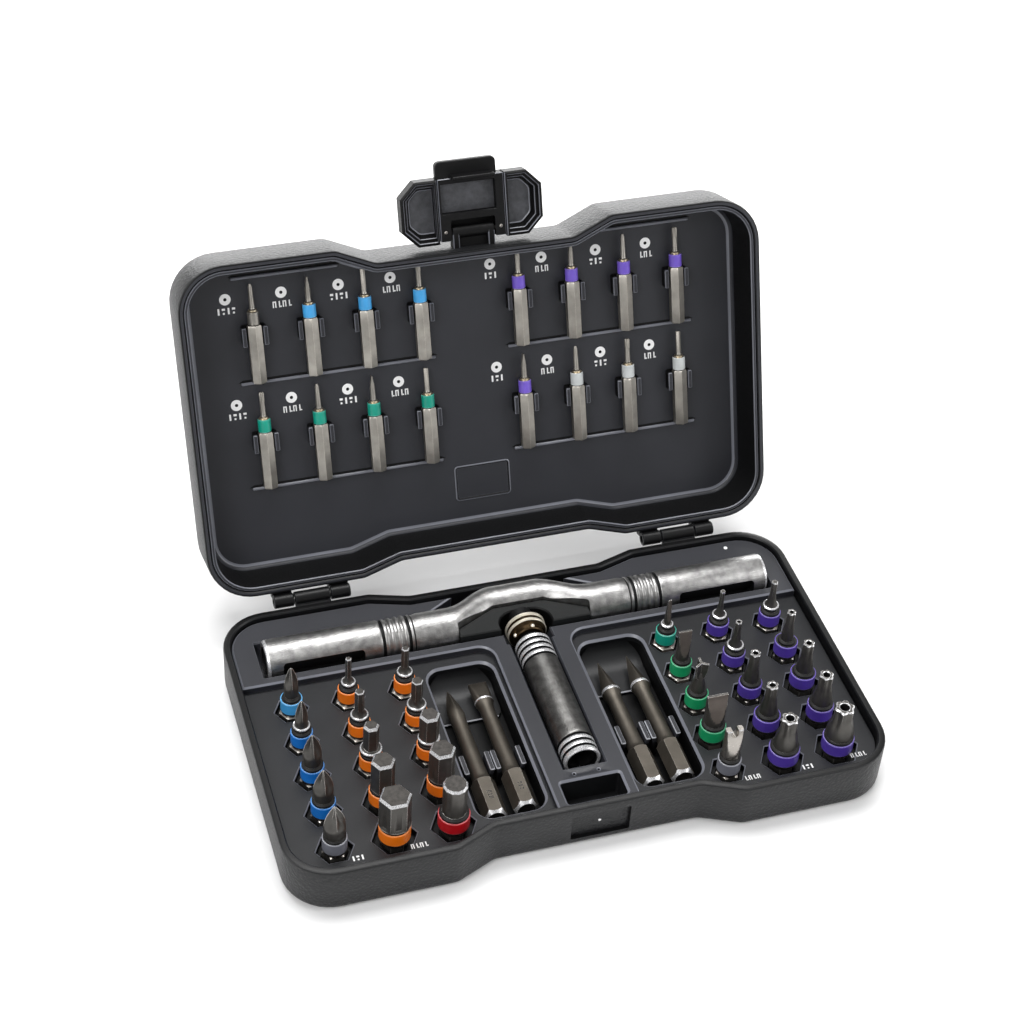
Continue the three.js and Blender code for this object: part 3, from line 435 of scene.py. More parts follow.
# ---- objects -----------------------------------------------------------------------------------
def mesh_of(name, shape, looks):
    mesh = bpy.data.meshes.new(name)
    mesh.from_pydata([point * MM for point in shape.points], [], shape.faces)
    for look in looks:
        mesh.materials.append(look)
    mesh.polygons.foreach_set("material_index", shape.looks)
    work = bmesh.new()
    work.from_mesh(mesh)
    bmesh.ops.remove_doubles(work, verts=work.verts, dist=1e-7)
    bmesh.ops.recalc_face_normals(work, faces=work.faces)
    work.to_mesh(mesh)
    work.free()
    return mesh


def new_object(name, mesh):
    made = bpy.data.objects.new(name, mesh)
    bpy.context.scene.collection.objects.link(made)
    return made


def boolean(target, shape, operation="DIFFERENCE"):
    """Cuts the shape from the target, or joins it. Faces keep the looks of the shape they come from."""
    tool = new_object("tool", mesh_of("tool", shape, target.data.materials[:]))
    modifier = target.modifiers.new("boolean", "BOOLEAN")
    modifier.operation = operation
    modifier.solver = "EXACT"
    modifier.object = tool
    graph = bpy.context.evaluated_depsgraph_get()
    result = bpy.data.meshes.new_from_object(target.evaluated_get(graph))
    target.modifiers.clear()
    old = target.data
    target.data = result
    bpy.data.meshes.remove(old)
    bpy.data.objects.remove(tool)


def smoothed(made, angle=32):
    made.data.shade_smooth()
    made.data.set_sharp_from_angle(angle=math.radians(angle))
    return made


def piece(name, shape, looks, body, slot, nodes=(), matrix=None, cuts=(), joins=(), angle=32):
    """One visible piece: a shape with its cuts, riding on a body and standing for CAD nodes."""
    if not isinstance(looks, (list, tuple)):
        looks = [looks]
    if len(looks) == 1:
        shape.looks = [0] * len(shape.looks)
    made = new_object(name, mesh_of(name, shape, looks))
    for extra in joins:
        boolean(made, extra, "UNION")
    for extra in cuts:
        boolean(made, extra)
    if matrix:
        made.data.transform(Matrix.Scale(MM, 4) @ matrix @ Matrix.Scale(1 / MM, 4))
    smoothed(made, angle)
    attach(made, body)
    if nodes:
        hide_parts(*nodes)
    return made


# ---- base --------------------------------------------------------------------------------------
def hinge_barrel(span):
    low, high = span
    profile = [(KNUCKLE_BORE, low), (KNUCKLE_R - 0.25, low), (KNUCKLE_R, low + 0.25),
               (KNUCKLE_R, high - 0.25), (KNUCKLE_R - 0.25, high), (KNUCKLE_BORE, high)]
    return lathe(profile, 0, 32, HINGE @ ALONG_X, closed=True)


def base_case():
    levels = arc((2.6, 0), (0, 2.6), 6, True)
    levels += [(0, BASE_H - 0.6), (0.18, BASE_H - 0.18), (0.6, BASE_H), (WALL - 0.35, BASE_H),
               (WALL, BASE_H - 0.35), (WALL, WALL)]
    looks = [0] * 7 + [1, 1, 1, 1, 2]
    front = FRONT + WAIST_FRONT
    catch = plate(rectangle((MIDDLE - 8.7, MIDDLE + 8.7), (3.2, 12.6), 0.6), (-front - 1.3, -front + 3), 0.3,
                  looks=[2, 2]).moved(FACING_FRONT)
    piece("base_case", case_loft(levels, looks), [BLACK, RIM, PAINTED_SHADE_BLACK], *BASE_CASE, ["base_shell"],
          cuts=[catch])
    rivet = lathe([(0.42, -front - 1.35), (0.42, -front - 1.15), (0.25, -front - 1.05)], 0, 16,
                  FACING_FRONT @ shift(MIDDLE, 7.9))
    piece("catch_rivet", rivet, WHITE, *BASE_CASE)
    for name, side in (("left", -1), ("right", 1)):
        span = (side * HINGE_X - KNUCKLE_HALF, side * HINGE_X + KNUCKLE_HALF)
        web = plate(rectangle(span, (HALF_D - 0.4, HINGE_Y - 1.2), 0.3), (11.5, BASE_H), 0.25, 0.25)
        piece(f"base_knuckle_{name}", hinge_barrel(span).add(web), RIM, *BASE_CASE)


def trough_y(half, span, top):
    """A trough along Y: half round below its axis, with its walls carried up and chamfered at the top."""
    points = []
    for i in range(17):
        angle = math.pi + math.pi * i / 16
        points.append(Vector((math.cos(angle) * half, AXIS_Z + math.sin(angle) * half)))
    points += [Vector((half, top - 0.4)), Vector((half + 0.4, top)), Vector((half + 0.4, top + 4)),
               Vector((-half - 0.4, top + 4)), Vector((-half - 0.4, top)), Vector((-half, top - 0.4))]
    shape = Shape().loft([at(points, -span[1]), at(points, -span[0])], 0)
    return shape.moved(shift(MIDDLE, 0) @ FACING_FRONT)


def trough_x(half, span, top):
    turned = shift(MIDDLE, HANDLE_Y) @ Matrix.Rotation(math.pi / 2, 4, "Z")
    shape = trough_y(half, (-span[1], -span[0]), top)
    return shape.moved(turned @ shift(-MIDDLE, 0))


COLUMNS = (-74.2, -57.4, -40.6, 40.6, 57.4, 74.2)
ROWS = (13.4, 0.2, -13, -26.2, -39.4)


def nearest(values, value):
    return min(range(len(values)), key=lambda i: abs(values[i] - value))


def standing_places():
    """The name, column and row of every standing bit in the CAD."""
    places = []
    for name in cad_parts:
        low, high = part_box(name)
        if high.z > 0.0285 and "_bit_" in name and not name.startswith("long"):
            column = COLUMNS[nearest(COLUMNS, (low.x + high.x) / 2 / MM)]
            places.append((name, column, nearest(ROWS, (low.y + high.y) / 2 / MM)))
    return sorted(places)


RING_R = {
    -74.2: (3.2, 3.2, 3.4, 3.5, 3.5),
    -57.4: (3.1, 3.2, 3.3, 3.9, 4.5),
    -40.6: (3.1, 3.2, 3.4, 4, 4.5),
    40.6: (3.1, 3.2, 3.4, 3.8, 3.4),
    57.4: (3.3, 3.4, 3.5, 3.9, 4.5),
    74.2: (3.3, 3.5, 3.8, 3.9, 4.6),
}
RING_COLOUR = {
    -74.2: ("light_blue", "blue", "blue", "blue", "grey"),
    -57.4: ("orange",) * 5,
    -40.6: ("orange",) * 4 + ("red",),
    40.6: ("teal", "green", "green", "green", "grey"),
    57.4: ("purple",) * 5,
    74.2: ("purple",) * 5,
}


def hex_ring(centre, flats, z, chamfer=0.0):
    ring = polar(hexagon(flats + 2 * chamfer), z, 24)
    return [(centre[0] + x, centre[1] + y, z) for x, y, _ in ring]


def base_tray():
    body = case_loft([(2.9, 2.5), (2.5, 2.9), (2.5, SHELF - 0.45), (2.95, SHELF)], [0, 0, 1], (0, 0))
    far = HALF_W + 2
    left, right = MIDDLE - SPINE_HALF, MIDDLE + SPINE_HALF
    field_left = outline([(-far, -90, 1), (left, -90, 1), (left, SHELF_Y, 5), (-far, SHELF_Y, 1)], 8)
    field_right = outline([(right, -90, 1), (far, -90, 1), (far, SHELF_Y, 1), (right, SHELF_Y, 5)], 8)
    # The field floor takes look 4, the painted shade.
    fields = flared(field_left, FIELD, SHELF, 0.5, caps=(4, 0))
    fields.add(flared(field_right, FIELD, SHELF, 0.5, caps=(4, 0)))
    half = ARM_R + 1
    arms = trough_x(half, (-ARM_END - 1.8, ARM_END + 1.4), SHELF)
    front, near, back = HANDLE_Y - half, HANDLE_Y + half, HANDLE_Y + BOW + half
    bow = about_middle(((-27, front, 0.5), (27, front, 0.5), (27, near, 1.5), (15, back, 3), (-15, back, 3),
                        (-27, near, 1.5)), 5)
    holes = Shape()
    for _, column, row in standing_places():
        mouth = 2 * RING_R[column][row] + 2.2
        spot = (column, ROWS[row])
        rings = [hex_ring(spot, 6.95, FOOT - GAP), hex_ring(spot, 6.95, 9.6), hex_ring(spot, mouth, 9.6),
                 hex_ring(spot, mouth, FIELD - 0.3), hex_ring(spot, mouth, FIELD, 0.3),
                 hex_ring(spot, mouth, FIELD + 6, 0.3)]
        holes.loft(rings, [2, 2, 2, 1, 1])
    pockets = Shape()
    for side in (-1, 1):
        x = pocket_span(side)
        pocket = rectangle(x, (-39.5, 18.6), 4.5, 8)
        wide = inset(pocket, -0.7)
        rings = [at(pocket, 3.4), at(pocket, FIELD - 2.4), at(pocket, FIELD - 0.7), at(wide, FIELD),
                 at(wide, FIELD + 6)]
        pockets.loft(rings, [2, 3, 1, 1], caps=(2, 2))
    recess = flared(rectangle((MIDDLE - 8.9, MIDDLE + 8.9), (-42.2, -34.2), 0.8), 6, SHELF, 0.6, [3, 1, 1],
                    caps=(3, 3))
    dimples = Shape()
    for x in (-3.9, 3.4):
        spot = shift(MIDDLE + x, -32.1)
        profile = [(0.35, SHELF - 0.5), (0.4, SHELF - 0.12), (0.62, SHELF), (0.62, SHELF + 1)]
        dimples.add(lathe(profile, [2, 1, 1], 16, spot))
    cuts = [fields, arms, flared(bow, AXIS_Z - half, SHELF, 0.4),
            trough_y(STEM_R + 0.8, (-30, HANDLE_Y), SHELF),
            trough_y(COLLAR_R + 1, (21.2, HANDLE_Y), SHELF), holes, pockets, recess, dimples]
    piece("base_insert", body, [TRAY, EDGE_HIGHLIGHT, PAINTED_SHADE_BLACK, SHADE, FIELD_SHADE], *BASE_TRAY, ["base_tray"], cuts=cuts)
    buttons = Shape()
    for x, y in ((-3.6, -37.4), (2.4, -36.6)):
        buttons.add(lathe([(0.4, 5.95), (0.4, 6.3), (0.2, 6.45)], 0, 14, shift(MIDDLE + x, y)))
    piece("recess_buttons", buttons, EDGE_HIGHLIGHT, *BASE_TRAY)


def cradles():
    """The curved rests under the long bits' tips, and the spring tabs that grip their shafts."""
    for name, side in (("left", -1), ("right", 1)):
        x = pocket_span(side)
        profile = [Vector((3, 3.45)), Vector((18.4, 3.45)), Vector((18.4, 10.4))]
        profile += [Vector(point) for point in arc((18.4, 10.4), (11, 4.6), 12)[1:]]
        profile += [Vector((3.35, 4.6)), Vector((3, 4.35))]
        shape = Shape().loft([at(profile, x[0] + 0.25), at(profile, x[1] - 0.25)], [0]).moved(ALONG_X)
        count = len(profile)
        shape.looks[count - 2] = 1
        corner = rectangle((x[0] + 0.25, x[1] - 0.25), (2, 18.45), 4.2, 6)
        keep = Shape().loft([at(corner, 3), at(corner, 14)], 0)
        made = piece(f"pocket_cradle_{name}", shape, [SHADE, GLINT], *BASE_TRAY)
        boolean(made, keep, "INTERSECT")
        smoothed(made)
        tabs = Shape()
        middle = (x[0] + x[1]) / 2
        for offset in (-8.05, -1.25, 1.25, 8.05):
            lean = 0.35 * (1 if offset in (-1.25, 8.05) else -1)
            low = rectangle((middle + offset - 0.6, middle + offset + 0.6), (-21.4, -14.4), 0.25, 3)
            high = [point + Vector((lean, 0)) for point in inset(low, -0.1)]
            tabs.loft([at(low, 3.45), at(low, 8.4), at(high, 10.3), at(inset(high, 0.2), 10.6)], [2, 0, 1],
                      caps=(0, 0))
        piece(f"pocket_tabs_{name}", tabs, [TRAY, GLINT, SHADE], *BASE_TRAY)


def bars(spots, z):
    """Short printed strokes, as thin raised plates."""
    shape = Shape()
    for x, y, width, depth in spots:
        points = rectangle((x - width / 2, x + width / 2), (y - depth / 2, y + depth / 2), 0.08, 1)
        shape.loft([at(points, z), at(points, z + PRINT_HEIGHT)], 0)
    return shape


STROKES = (
    [(0, 0, 0.42, 1.5)],
    [(-0.28, 0, 0.26, 1.5), (0.28, 0, 0.26, 1.5), (0, 0.6, 0.6, 0.28)],
    [(0, 0.45, 0.75, 0.5), (0, -0.5, 0.45, 0.45)],
    [(0, 0, 0.28, 1.5), (0.2, -0.55, 0.6, 0.3)],
)


def print_marks(x, y, z, count, seed, size):
    """A short row of plain printed blocks: bars, squares and small frames, none of them a letter."""
    spots = []
    for i in range(count):
        for dx, dy, width, depth in STROKES[(i * 2 + seed) % 4]:
            left = x + ((i - (count - 1) / 2) * 1.15 + dx) * size
            spots.append((left, y + dy * size, width * size, depth * size))
    return bars(spots, z)


def base_marks():
    shape = Shape()
    spots = ((0, -68.8, -44.2), (1, -51.6, -44.1), (3, 46.4, -43.9), (4, 63.4, -44.1), (5, 79.4, -43.4))
    for seed, x, y in spots:
        shape.add(print_marks(x, y, FIELD, 3 + seed % 2, seed, 1.1))
    piece("base_marks", shape, WHITE, *BASE_TRAY)
    plug = lathe([(0.62, SHELF - 0.1), (0.62, SHELF + 0.12), (0.45, SHELF + 0.22)], 0, 20,
                 shift(72.4, 45.4))
    piece("shelf_plug", plug, WHITE, *BASE_TRAY)


# ---- lid, drawn closed and turned open -----------------------------------------------------------
def lid_case():
    levels = [(LID_WALL, LID_RIM + 0.3), (LID_WALL - 0.3, LID_RIM), (0.6, LID_RIM), (0.18, LID_RIM + 0.18),
              (0, LID_RIM + 0.6), (0, 32.4)]
    levels += arc((0, 32.4), (4.2, LID_TOP), 8)[1:]
    levels += [(11, LID_TOP), (11.5, LID_TOP - 0.4), (12.5, LID_TOP - 0.4)]
    looks = [1, 3, 1, 1] + [0] * (len(levels) - 5)
    shape = Shape()
    rings = [at(case_outline(distance), z) for distance, z in levels]
    inner = [at(case_outline(distance), z) for distance, z in ((3.6, 34.4), (LID_WALL, 31.4))]
    shape.loft(inner + rings, [2, 2] + looks, caps=(2, 0))
    bracket = Shape()
    for x in (-6.4, 4.4):
        arm = rectangle((MIDDLE + x, MIDDLE + x + 2), (-50.6, -45.5), 0.3)
        bracket.add(plate(arm, (20.6, 24.4), 0.3, 0.3))
    barrel = lathe([(0.85, -6.4), (1.65, -6.4), (1.9, -6.15), (1.9, 6.15), (1.65, 6.4), (0.85, 6.4)], 0, 28,
                   LATCH_AXIS @ ALONG_X, closed=True)
    # A dark web between the bracket's legs: a painted shade in the gap behind them.
    web = plate(rectangle((MIDDLE - 4.6, MIDDLE + 4.6), (-50.2, -45.5), 0.2), (22.1, 23.1), 0.1, looks=[2, 2],
                caps=(2, 2))
    piece("lid_case", shape, [BLACK, RIM, PAINTED_SHADE_BLACK, TRAY], *LID_CASE, ["lid_shell"], OPEN)
    piece("latch_bracket", bracket.add(barrel).add(web), [LATCH_BLACK, EDGE_HIGHLIGHT, PAINTED_SHADE_BLACK], *LID_CASE, matrix=OPEN)
    for name, side in (("left", -1), ("right", 1)):
        ears = Shape()
        for low, high in ((-HINGE_HALF, -KNUCKLE_HALF - GAP), (KNUCKLE_HALF + GAP, HINGE_HALF)):
            span = (side * HINGE_X + low, side * HINGE_X + high)
            ears.add(hinge_barrel(span))
            root = rectangle(span, (HALF_D - 0.4, HINGE_Y - 0.2), 0.3)
            ears.add(plate(root, (LID_RIM + 1.8, 21), 0.25, 0.25))
        piece(f"lid_ears_{name}", ears, RIM, *LID_CASE, matrix=OPEN)


def lid_insert():
    levels = [(3.9, 34), (1.9, 31.2), (1.9, LID_RIM + 0.5), (2.1, LID_RIM + 0.3), (2.7, LID_RIM + 0.3),
              (2.95, LID_RIM + 0.55), (3.7, 28.4)]
    levels += arc((3.7, 28.4), (5.4, LID_FACE), 6)[1:]
    looks = [2, 2, 1, 0, 1, 2, 2, 0, 0, 0, 1, 1]
    shape = case_loft(levels, looks, (2, 0))
    piece("lid_insert", shape, [TRAY, EDGE_HIGHLIGHT, PAINTED_SHADE_BLACK], *LID_TRAY, ["lid_tray"], OPEN)
    ribs = Shape()
    for side in (-1, 1):
        ribs.add(lid_rib(sorted((side * 39, side * 71)), -43.6))
    panel = rectangle((MIDDLE - 8.9, MIDDLE + 8.9), (25, 36.4), 1.2, 6)
    face = -LID_FACE
    rings = [at(panel, face - 0.05), at(panel, face + 0.12), at(inset(panel, 0.3), face + 0.3),
             at(inset(panel, 0.5), face + 0.3), at(inset(panel, 0.8), face + 0.05)]
    ribs.loft(rings, [0, 1, 0, 2], caps=(0, 0))
    piece("lid_ribs", ribs.moved(FLIP_Z), [TRAY, EDGE_HIGHLIGHT, PAINTED_SHADE_BLACK], *LID_TRAY, matrix=OPEN)


def lid_rib(x, y, height=0.8):
    """A low rib with pointed ends: a dark foot on the front side, a painted shadow, and a light crest, a
    painted highlight.
    """
    face, width = -LID_FACE, 0.85
    low, high = x
    foot = [Vector(point) for point in ((low - 0.9, y), (low + 0.6, y - 0.75),
                                        (high - 0.6, y - 0.75), (high + 0.9, y))]
    crest = outline([(low, y - 0.05, 0.2), (high, y - 0.05, 0.2),
                     (high, y + width, 0.3), (low, y + width, 0.3)], 2)
    shape = Shape().loft([at(foot, face - 0.05), at(foot, face + 0.04)], 2)
    return shape.loft([at(crest, face - 0.05), at(crest, face + height - 0.3),
                       at(inset(crest, 0.25), face + height)], [0, 1], caps=(0, 1))


def lid_clip(x, y):
    """A pair of spring tabs on a dark foot, a painted shadow, gripping a slim bit. The tabs' lower sides
    carry painted shade and their top edges a painted highlight.
    """
    shape = Shape()
    foot = rectangle((x - 3.6, x + 3.4), (y - 0.4, y + 5.9), 0.6)
    shape.loft([at(foot, -LID_FACE - 0.05), at(foot, -LID_FACE + 0.04)], 2)
    for side in (-1, 1):
        outer = sorted((x + side * 2.4, x + side * 3.7))
        low = rectangle(outer, (y, y + 5.7), 0.25, 3)
        high = [point + Vector((side * 0.15, 0)) for point in low]
        shape.loft([at(low, -LID_FACE), at(low, -LID_FACE + 2.2), at(high, -LID_FACE + 3.15),
                    at(inset(high, 0.2), -LID_FACE + 3.4)], [2, 0, 1], caps=(0, 0))
    return shape


LID_COLUMNS = (15.4, 32.2, 49, 65.8)
LID_TIPS = (-41.6, -8.6)
LID_COLOURS = {
    ("left", 1): ("light_blue", "light_blue", "light_blue", "none"),
    ("left", 2): ("teal", "teal", "teal", "teal"),
    ("right", 1): ("light_purple", "light_purple", "light_purple", "light_purple"),
    ("right", 2): ("light_purple", "white", "white", "white"),
}


def wavy(radius):
    """A round with six shallow lobes."""
    return lambda angle: radius + 0.1 * math.cos(6 * angle)


def slim_bit(x, tip_y, colour_name, kind):
    """A slim bit lying in the lid: tip, gold-toned collar, coloured ring and hexagon shank."""
    ring_r = 1.95 if colour_name != "none" else 1.7
    tips = (
        [polar(0.35), polar(0.62, 0.8)],
        [polar(wavy(0.5)), polar(wavy(0.7), 0.3), polar(wavy(0.7), 2.6), polar(0.72, 3.2)],
        [polar(hexagon(1.1)), polar(hexagon(1.3), 0.2), polar(hexagon(1.3), 6.5)],
        [clipped(0.85, 0.14, 0), clipped(0.85, 0.5, 2.4), polar(0.8, 3.6)],
    )
    rings = tips[kind]
    looks = [1] * len(rings)
    levels = [(0.8, 7.0, 1), (0.9, 7.4, 4), (0.95, 7.55, 3), (1.3, 7.7, 3), (1.3, 8.1, 3),
              (ring_r - 0.15, 8.2, 2), (ring_r, 8.4, 2), (ring_r, 12.0, 2), (ring_r - 0.15, 12.2, 4)]
    for radius, z, look in levels:
        rings.append(polar(radius, z))
        looks.append(look)
    rings += [polar(hexagon(4, 0.9), 12.35), polar(hexagon(4), 12.9), polar(hexagon(4), LID_LENGTH - 0.4),
              polar(hexagon(4, 0.9), LID_LENGTH)]
    return Shape().loft(rings, looks + [1, 1, 1]).moved(shift(x, tip_y, LID_AXIS) @ ALONG_Y)


def lid_contents():
    for row, tip_y in enumerate(LID_TIPS, 1):
        end = tip_y + LID_LENGTH
        for name, side in (("left", -1), ("right", 1)):
            clips = Shape()
            for i, column in enumerate(LID_COLUMNS):
                x = side * column
                clips.add(lid_clip(x, tip_y + 12.9).moved(FLIP_Z))
                colour = LID_COLOURS[(name, row)][i]
                shape = slim_bit(x, tip_y, colour, (i + row + (side > 0)) % 4)
                looks = [PEWTER, PEWTER, PAINT[colour], BRASS, MARK_AND_HOLE_SHADE]
                piece(f"slim_bit_{name}_{row}_{i + 1}", shape, looks, "lid", "precision_bit_steel",
                      matrix=OPEN)
            piece(f"lid_clips_{name}_{row}", clips, [TRAY, EDGE_HIGHLIGHT, PAINTED_SHADE_BLACK], *LID_TRAY, matrix=OPEN)
            strip = lid_rib(sorted((side * 11.5, side * 71)), end + 0.15, height=0.7)
            piece(f"lid_strip_{name}_{row}", strip.moved(FLIP_Z), [TRAY, EDGE_HIGHLIGHT, PAINTED_SHADE_BLACK], *LID_TRAY,
                  [f"lid_bits_{name}_{row}"], OPEN)
    labels, dots = Shape(), Shape()
    for y in (-37.3, -4.9):
        for i, x in enumerate((-73.1, -56.5, -39.3, -23.5, 7.4, 23.6, 40.9, 57)):
            turn = shift(x, y, LID_FACE - 0.06)
            labels.add(lathe([(0.5, 0), (1.7, 0), (1.7, 0.08), (0.5, 0.08)], 0, 32, turn, closed=True))
            dots.add(lathe([(0.5, 0), (0.5, 0.05)], 0, 16, turn))
            marks = print_marks(x, -(y + 3.5), 0, 4 if x < 0 else 3, i, 1.3)
            labels.add(marks.moved(shift(0, 0, LID_FACE - 0.06) @ Matrix.Diagonal((1, -1, 1, 1))))
    piece("lid_labels", labels, WHITE, *LID_TRAY, matrix=OPEN)
    piece("lid_label_dots", dots, PAINTED_SHADE_BLACK, *LID_TRAY, matrix=OPEN)


# ---- latch -------------------------------------------------------------------------------------
def octagon(half, low, high, cut):
    return [Vector(point) for point in (
        (-half + cut, low), (half - cut, low), (half, low + cut), (half, high - cut), (half - cut, high),
        (-half + cut, high), (-half, high - cut), (-half, low + cut))]


def cup_outline(side, distance, radius):
    """The outline of one of the latch's hollows, inset from the octagon."""
    edge = inset(octagon(21.5, -16.4, 2.8, 4.6), distance)
    corners = [(point.x, point.y, radius) for point in edge[1:5]]
    inner = 10.9 + distance * 0.1
    corners += [(inner, corners[-1][1], 0.2), (inner, corners[0][1], 0.2)]
    if side < 0:
        corners = [(-x, y, r) for x, y, r in reversed(corners)]
    return outline(corners, 5)


def latch():
    outer = octagon(21.5, -16.4, 2.8, 4.6)
    rings = [at(inset(outer, 0.5), -2.2), at(outer, -1.8), at(outer, 2.2), at(inset(outer, 0.5), 3.0),
             at(inset(outer, 1.4), 3.3)]
    body = Shape().loft(rings, 0)
    channel = Shape().loft([at(rectangle((-10.5, 10.5), (-20, 6), 0.1, 1), -6),
                            at(rectangle((-10.5, 10.5), (-20, 6), 0.1, 1), -2.0),
                            at(rectangle((-10.3, 10.3), (-20, 6), 0.1, 1), -1.8),
                            at(rectangle((-10.3, 10.3), (-20, 6), 0.1, 1), 2.2)], [1, 1, 0], caps=(0, 0))
    cups = Shape()
    for side in (-1, 1):
        levels = [(0.85, -6, 0.3, 1), (0.85, -2.15, 0.3, 1), (1.05, -1.95, 0.3, 0), (1.25, -1.0, 0.4, 0),
                  (1.9, -1.0, 0.5, 1), (2.1, -0.8, 0.5, 0), (2.6, 0.9, 1.6, 0), (3.0, 0.9, 2.2, 1),
                  (3.3, 1.1, 2.2, 1)]
        cups.loft([at(cup_outline(side, distance, radius), depth) for distance, depth, radius, _ in levels],
                  [look for *_, look in levels][:-1], caps=(0, 2))
    finish = [LATCH_BLACK, EDGE_HIGHLIGHT, PANEL]
    made = piece("latch_shell", body.moved(FACING_FRONT), finish, "latch", "latch_plastic", ["latch_cover"])
    boolean(made, channel.moved(FACING_FRONT))
    boolean(made, cups.moved(FACING_FRONT))
    place = Matrix.Scale(MM, 4) @ LATCH @ Matrix.Scale(1 / MM, 4)
    made.data.transform(place)
    smoothed(made, 25)
    block = plate(rectangle((-10, 10), (-16.4, 2.2), 0.4), (-1.9, 1.9), 0.3, 0.2, looks=[1, 0, 0])
    arch = outline([(-7.2, 6, 0.2), (-7.2, -4.4, 1.1), (7.2, -4.4, 1.1), (7.2, 6, 0.2)][::-1], 4)
    notch = Shape().loft([at(inset(arch, -0.5), -5), at(inset(arch, -0.5), -1.95), at(arch, -1.5),
                          at(arch, 5)], [1, 1, 0], caps=(0, 0))
    window = rectangle((-9.2, 7.4), (-14.8, -6), 0.3)
    hollow = Shape().loft([at(inset(window, -0.2), -5), at(inset(window, -0.2), -1.95), at(window, -1.75),
                           at(window, 0.4)], [0, 0, 0], caps=(0, 2))
    made = piece("latch_plate", block.moved(FACING_FRONT), finish, "latch", "latch_panel",
                 ["latch_hook_plate"])
    tab = rectangle((-10.4, 8), (-21.5, -15.2), 1.6, 5)
    tab_shape = Shape().loft([at(inset(tab, 0.35), -1.6), at(tab, -1.35), at(tab, 0.3),
                              at(inset(tab, 0.3), 0.6)], [0, 0, 1], caps=(0, 0))
    hook = rectangle((-6.2, 6.6), (-17.4, -16.4), 0.3)
    hook_shape = Shape().loft([at(inset(hook, 0.2), -5.5), at(hook, -5.3), at(hook, -1.4)], [0, 0])
    boolean(made, notch.moved(FACING_FRONT))
    boolean(made, hollow.moved(FACING_FRONT))
    boolean(made, tab_shape.moved(FACING_FRONT), "UNION")
    boolean(made, hook_shape.moved(FACING_FRONT), "UNION")
    made.data.transform(place)
    smoothed(made, 25)
    ends = Shape()
    for x in (-8.4, 8.4):
        ends.add(lathe([(0.5, 0), (0.5, 0.25), (0.3, 0.4)], 0, 16, shift(x, 1.85, -0.6) @ ALONG_Y))
    piece("latch_rivets", ends, FLANGE, "latch", "latch_plastic", matrix=LATCH)


# ---- driver ------------------------------------------------------------------------------------
def bow_at(x):
    t = min(max((abs(x) - 7) / 15, 0), 1)
    return 1 - t * t * (3 - 2 * t)


def yoke_shape():
    """The bowed tube in the middle of the handle."""
    end = ARM_SEAM - GAP
    rings = []
    for x in [-end, *range(-int(end) + 1, int(end)), end]:
        bow = bow_at(x)
        radius = ARM_R + (BOW_R - ARM_R) * bow - (0.3 if abs(x) == end else 0)
        rings.append([(MIDDLE + x, HANDLE_Y + BOW * bow + a, AXIS_Z + b) for a, b, _ in polar(radius)])
    return Shape().loft(rings, 0)


def groove_profile(radius, start, pitch, count, depth, dark=None):
    """A row of grooves with rounded ridges between them. Dark names the grooves whose floors take the dark
    look, a painted shade in the groove.
    """
    points, looks = [], []
    for i in range(count):
        low = start + i * pitch
        points += [(radius - 0.12, low), (radius - depth, low + 0.25), (radius - depth, low + 0.7),
                   (radius - 0.12, low + 0.95), (radius, low + 1.2), (radius, low + pitch - 0.2)]
        floor = 1 if dark is None or i in dark else 0
        looks += [floor, floor, floor, 2, 2, 2]
    return points, looks


DRIVER_AXIS = shift(MIDDLE, 0, AXIS_Z) @ ALONG_Y


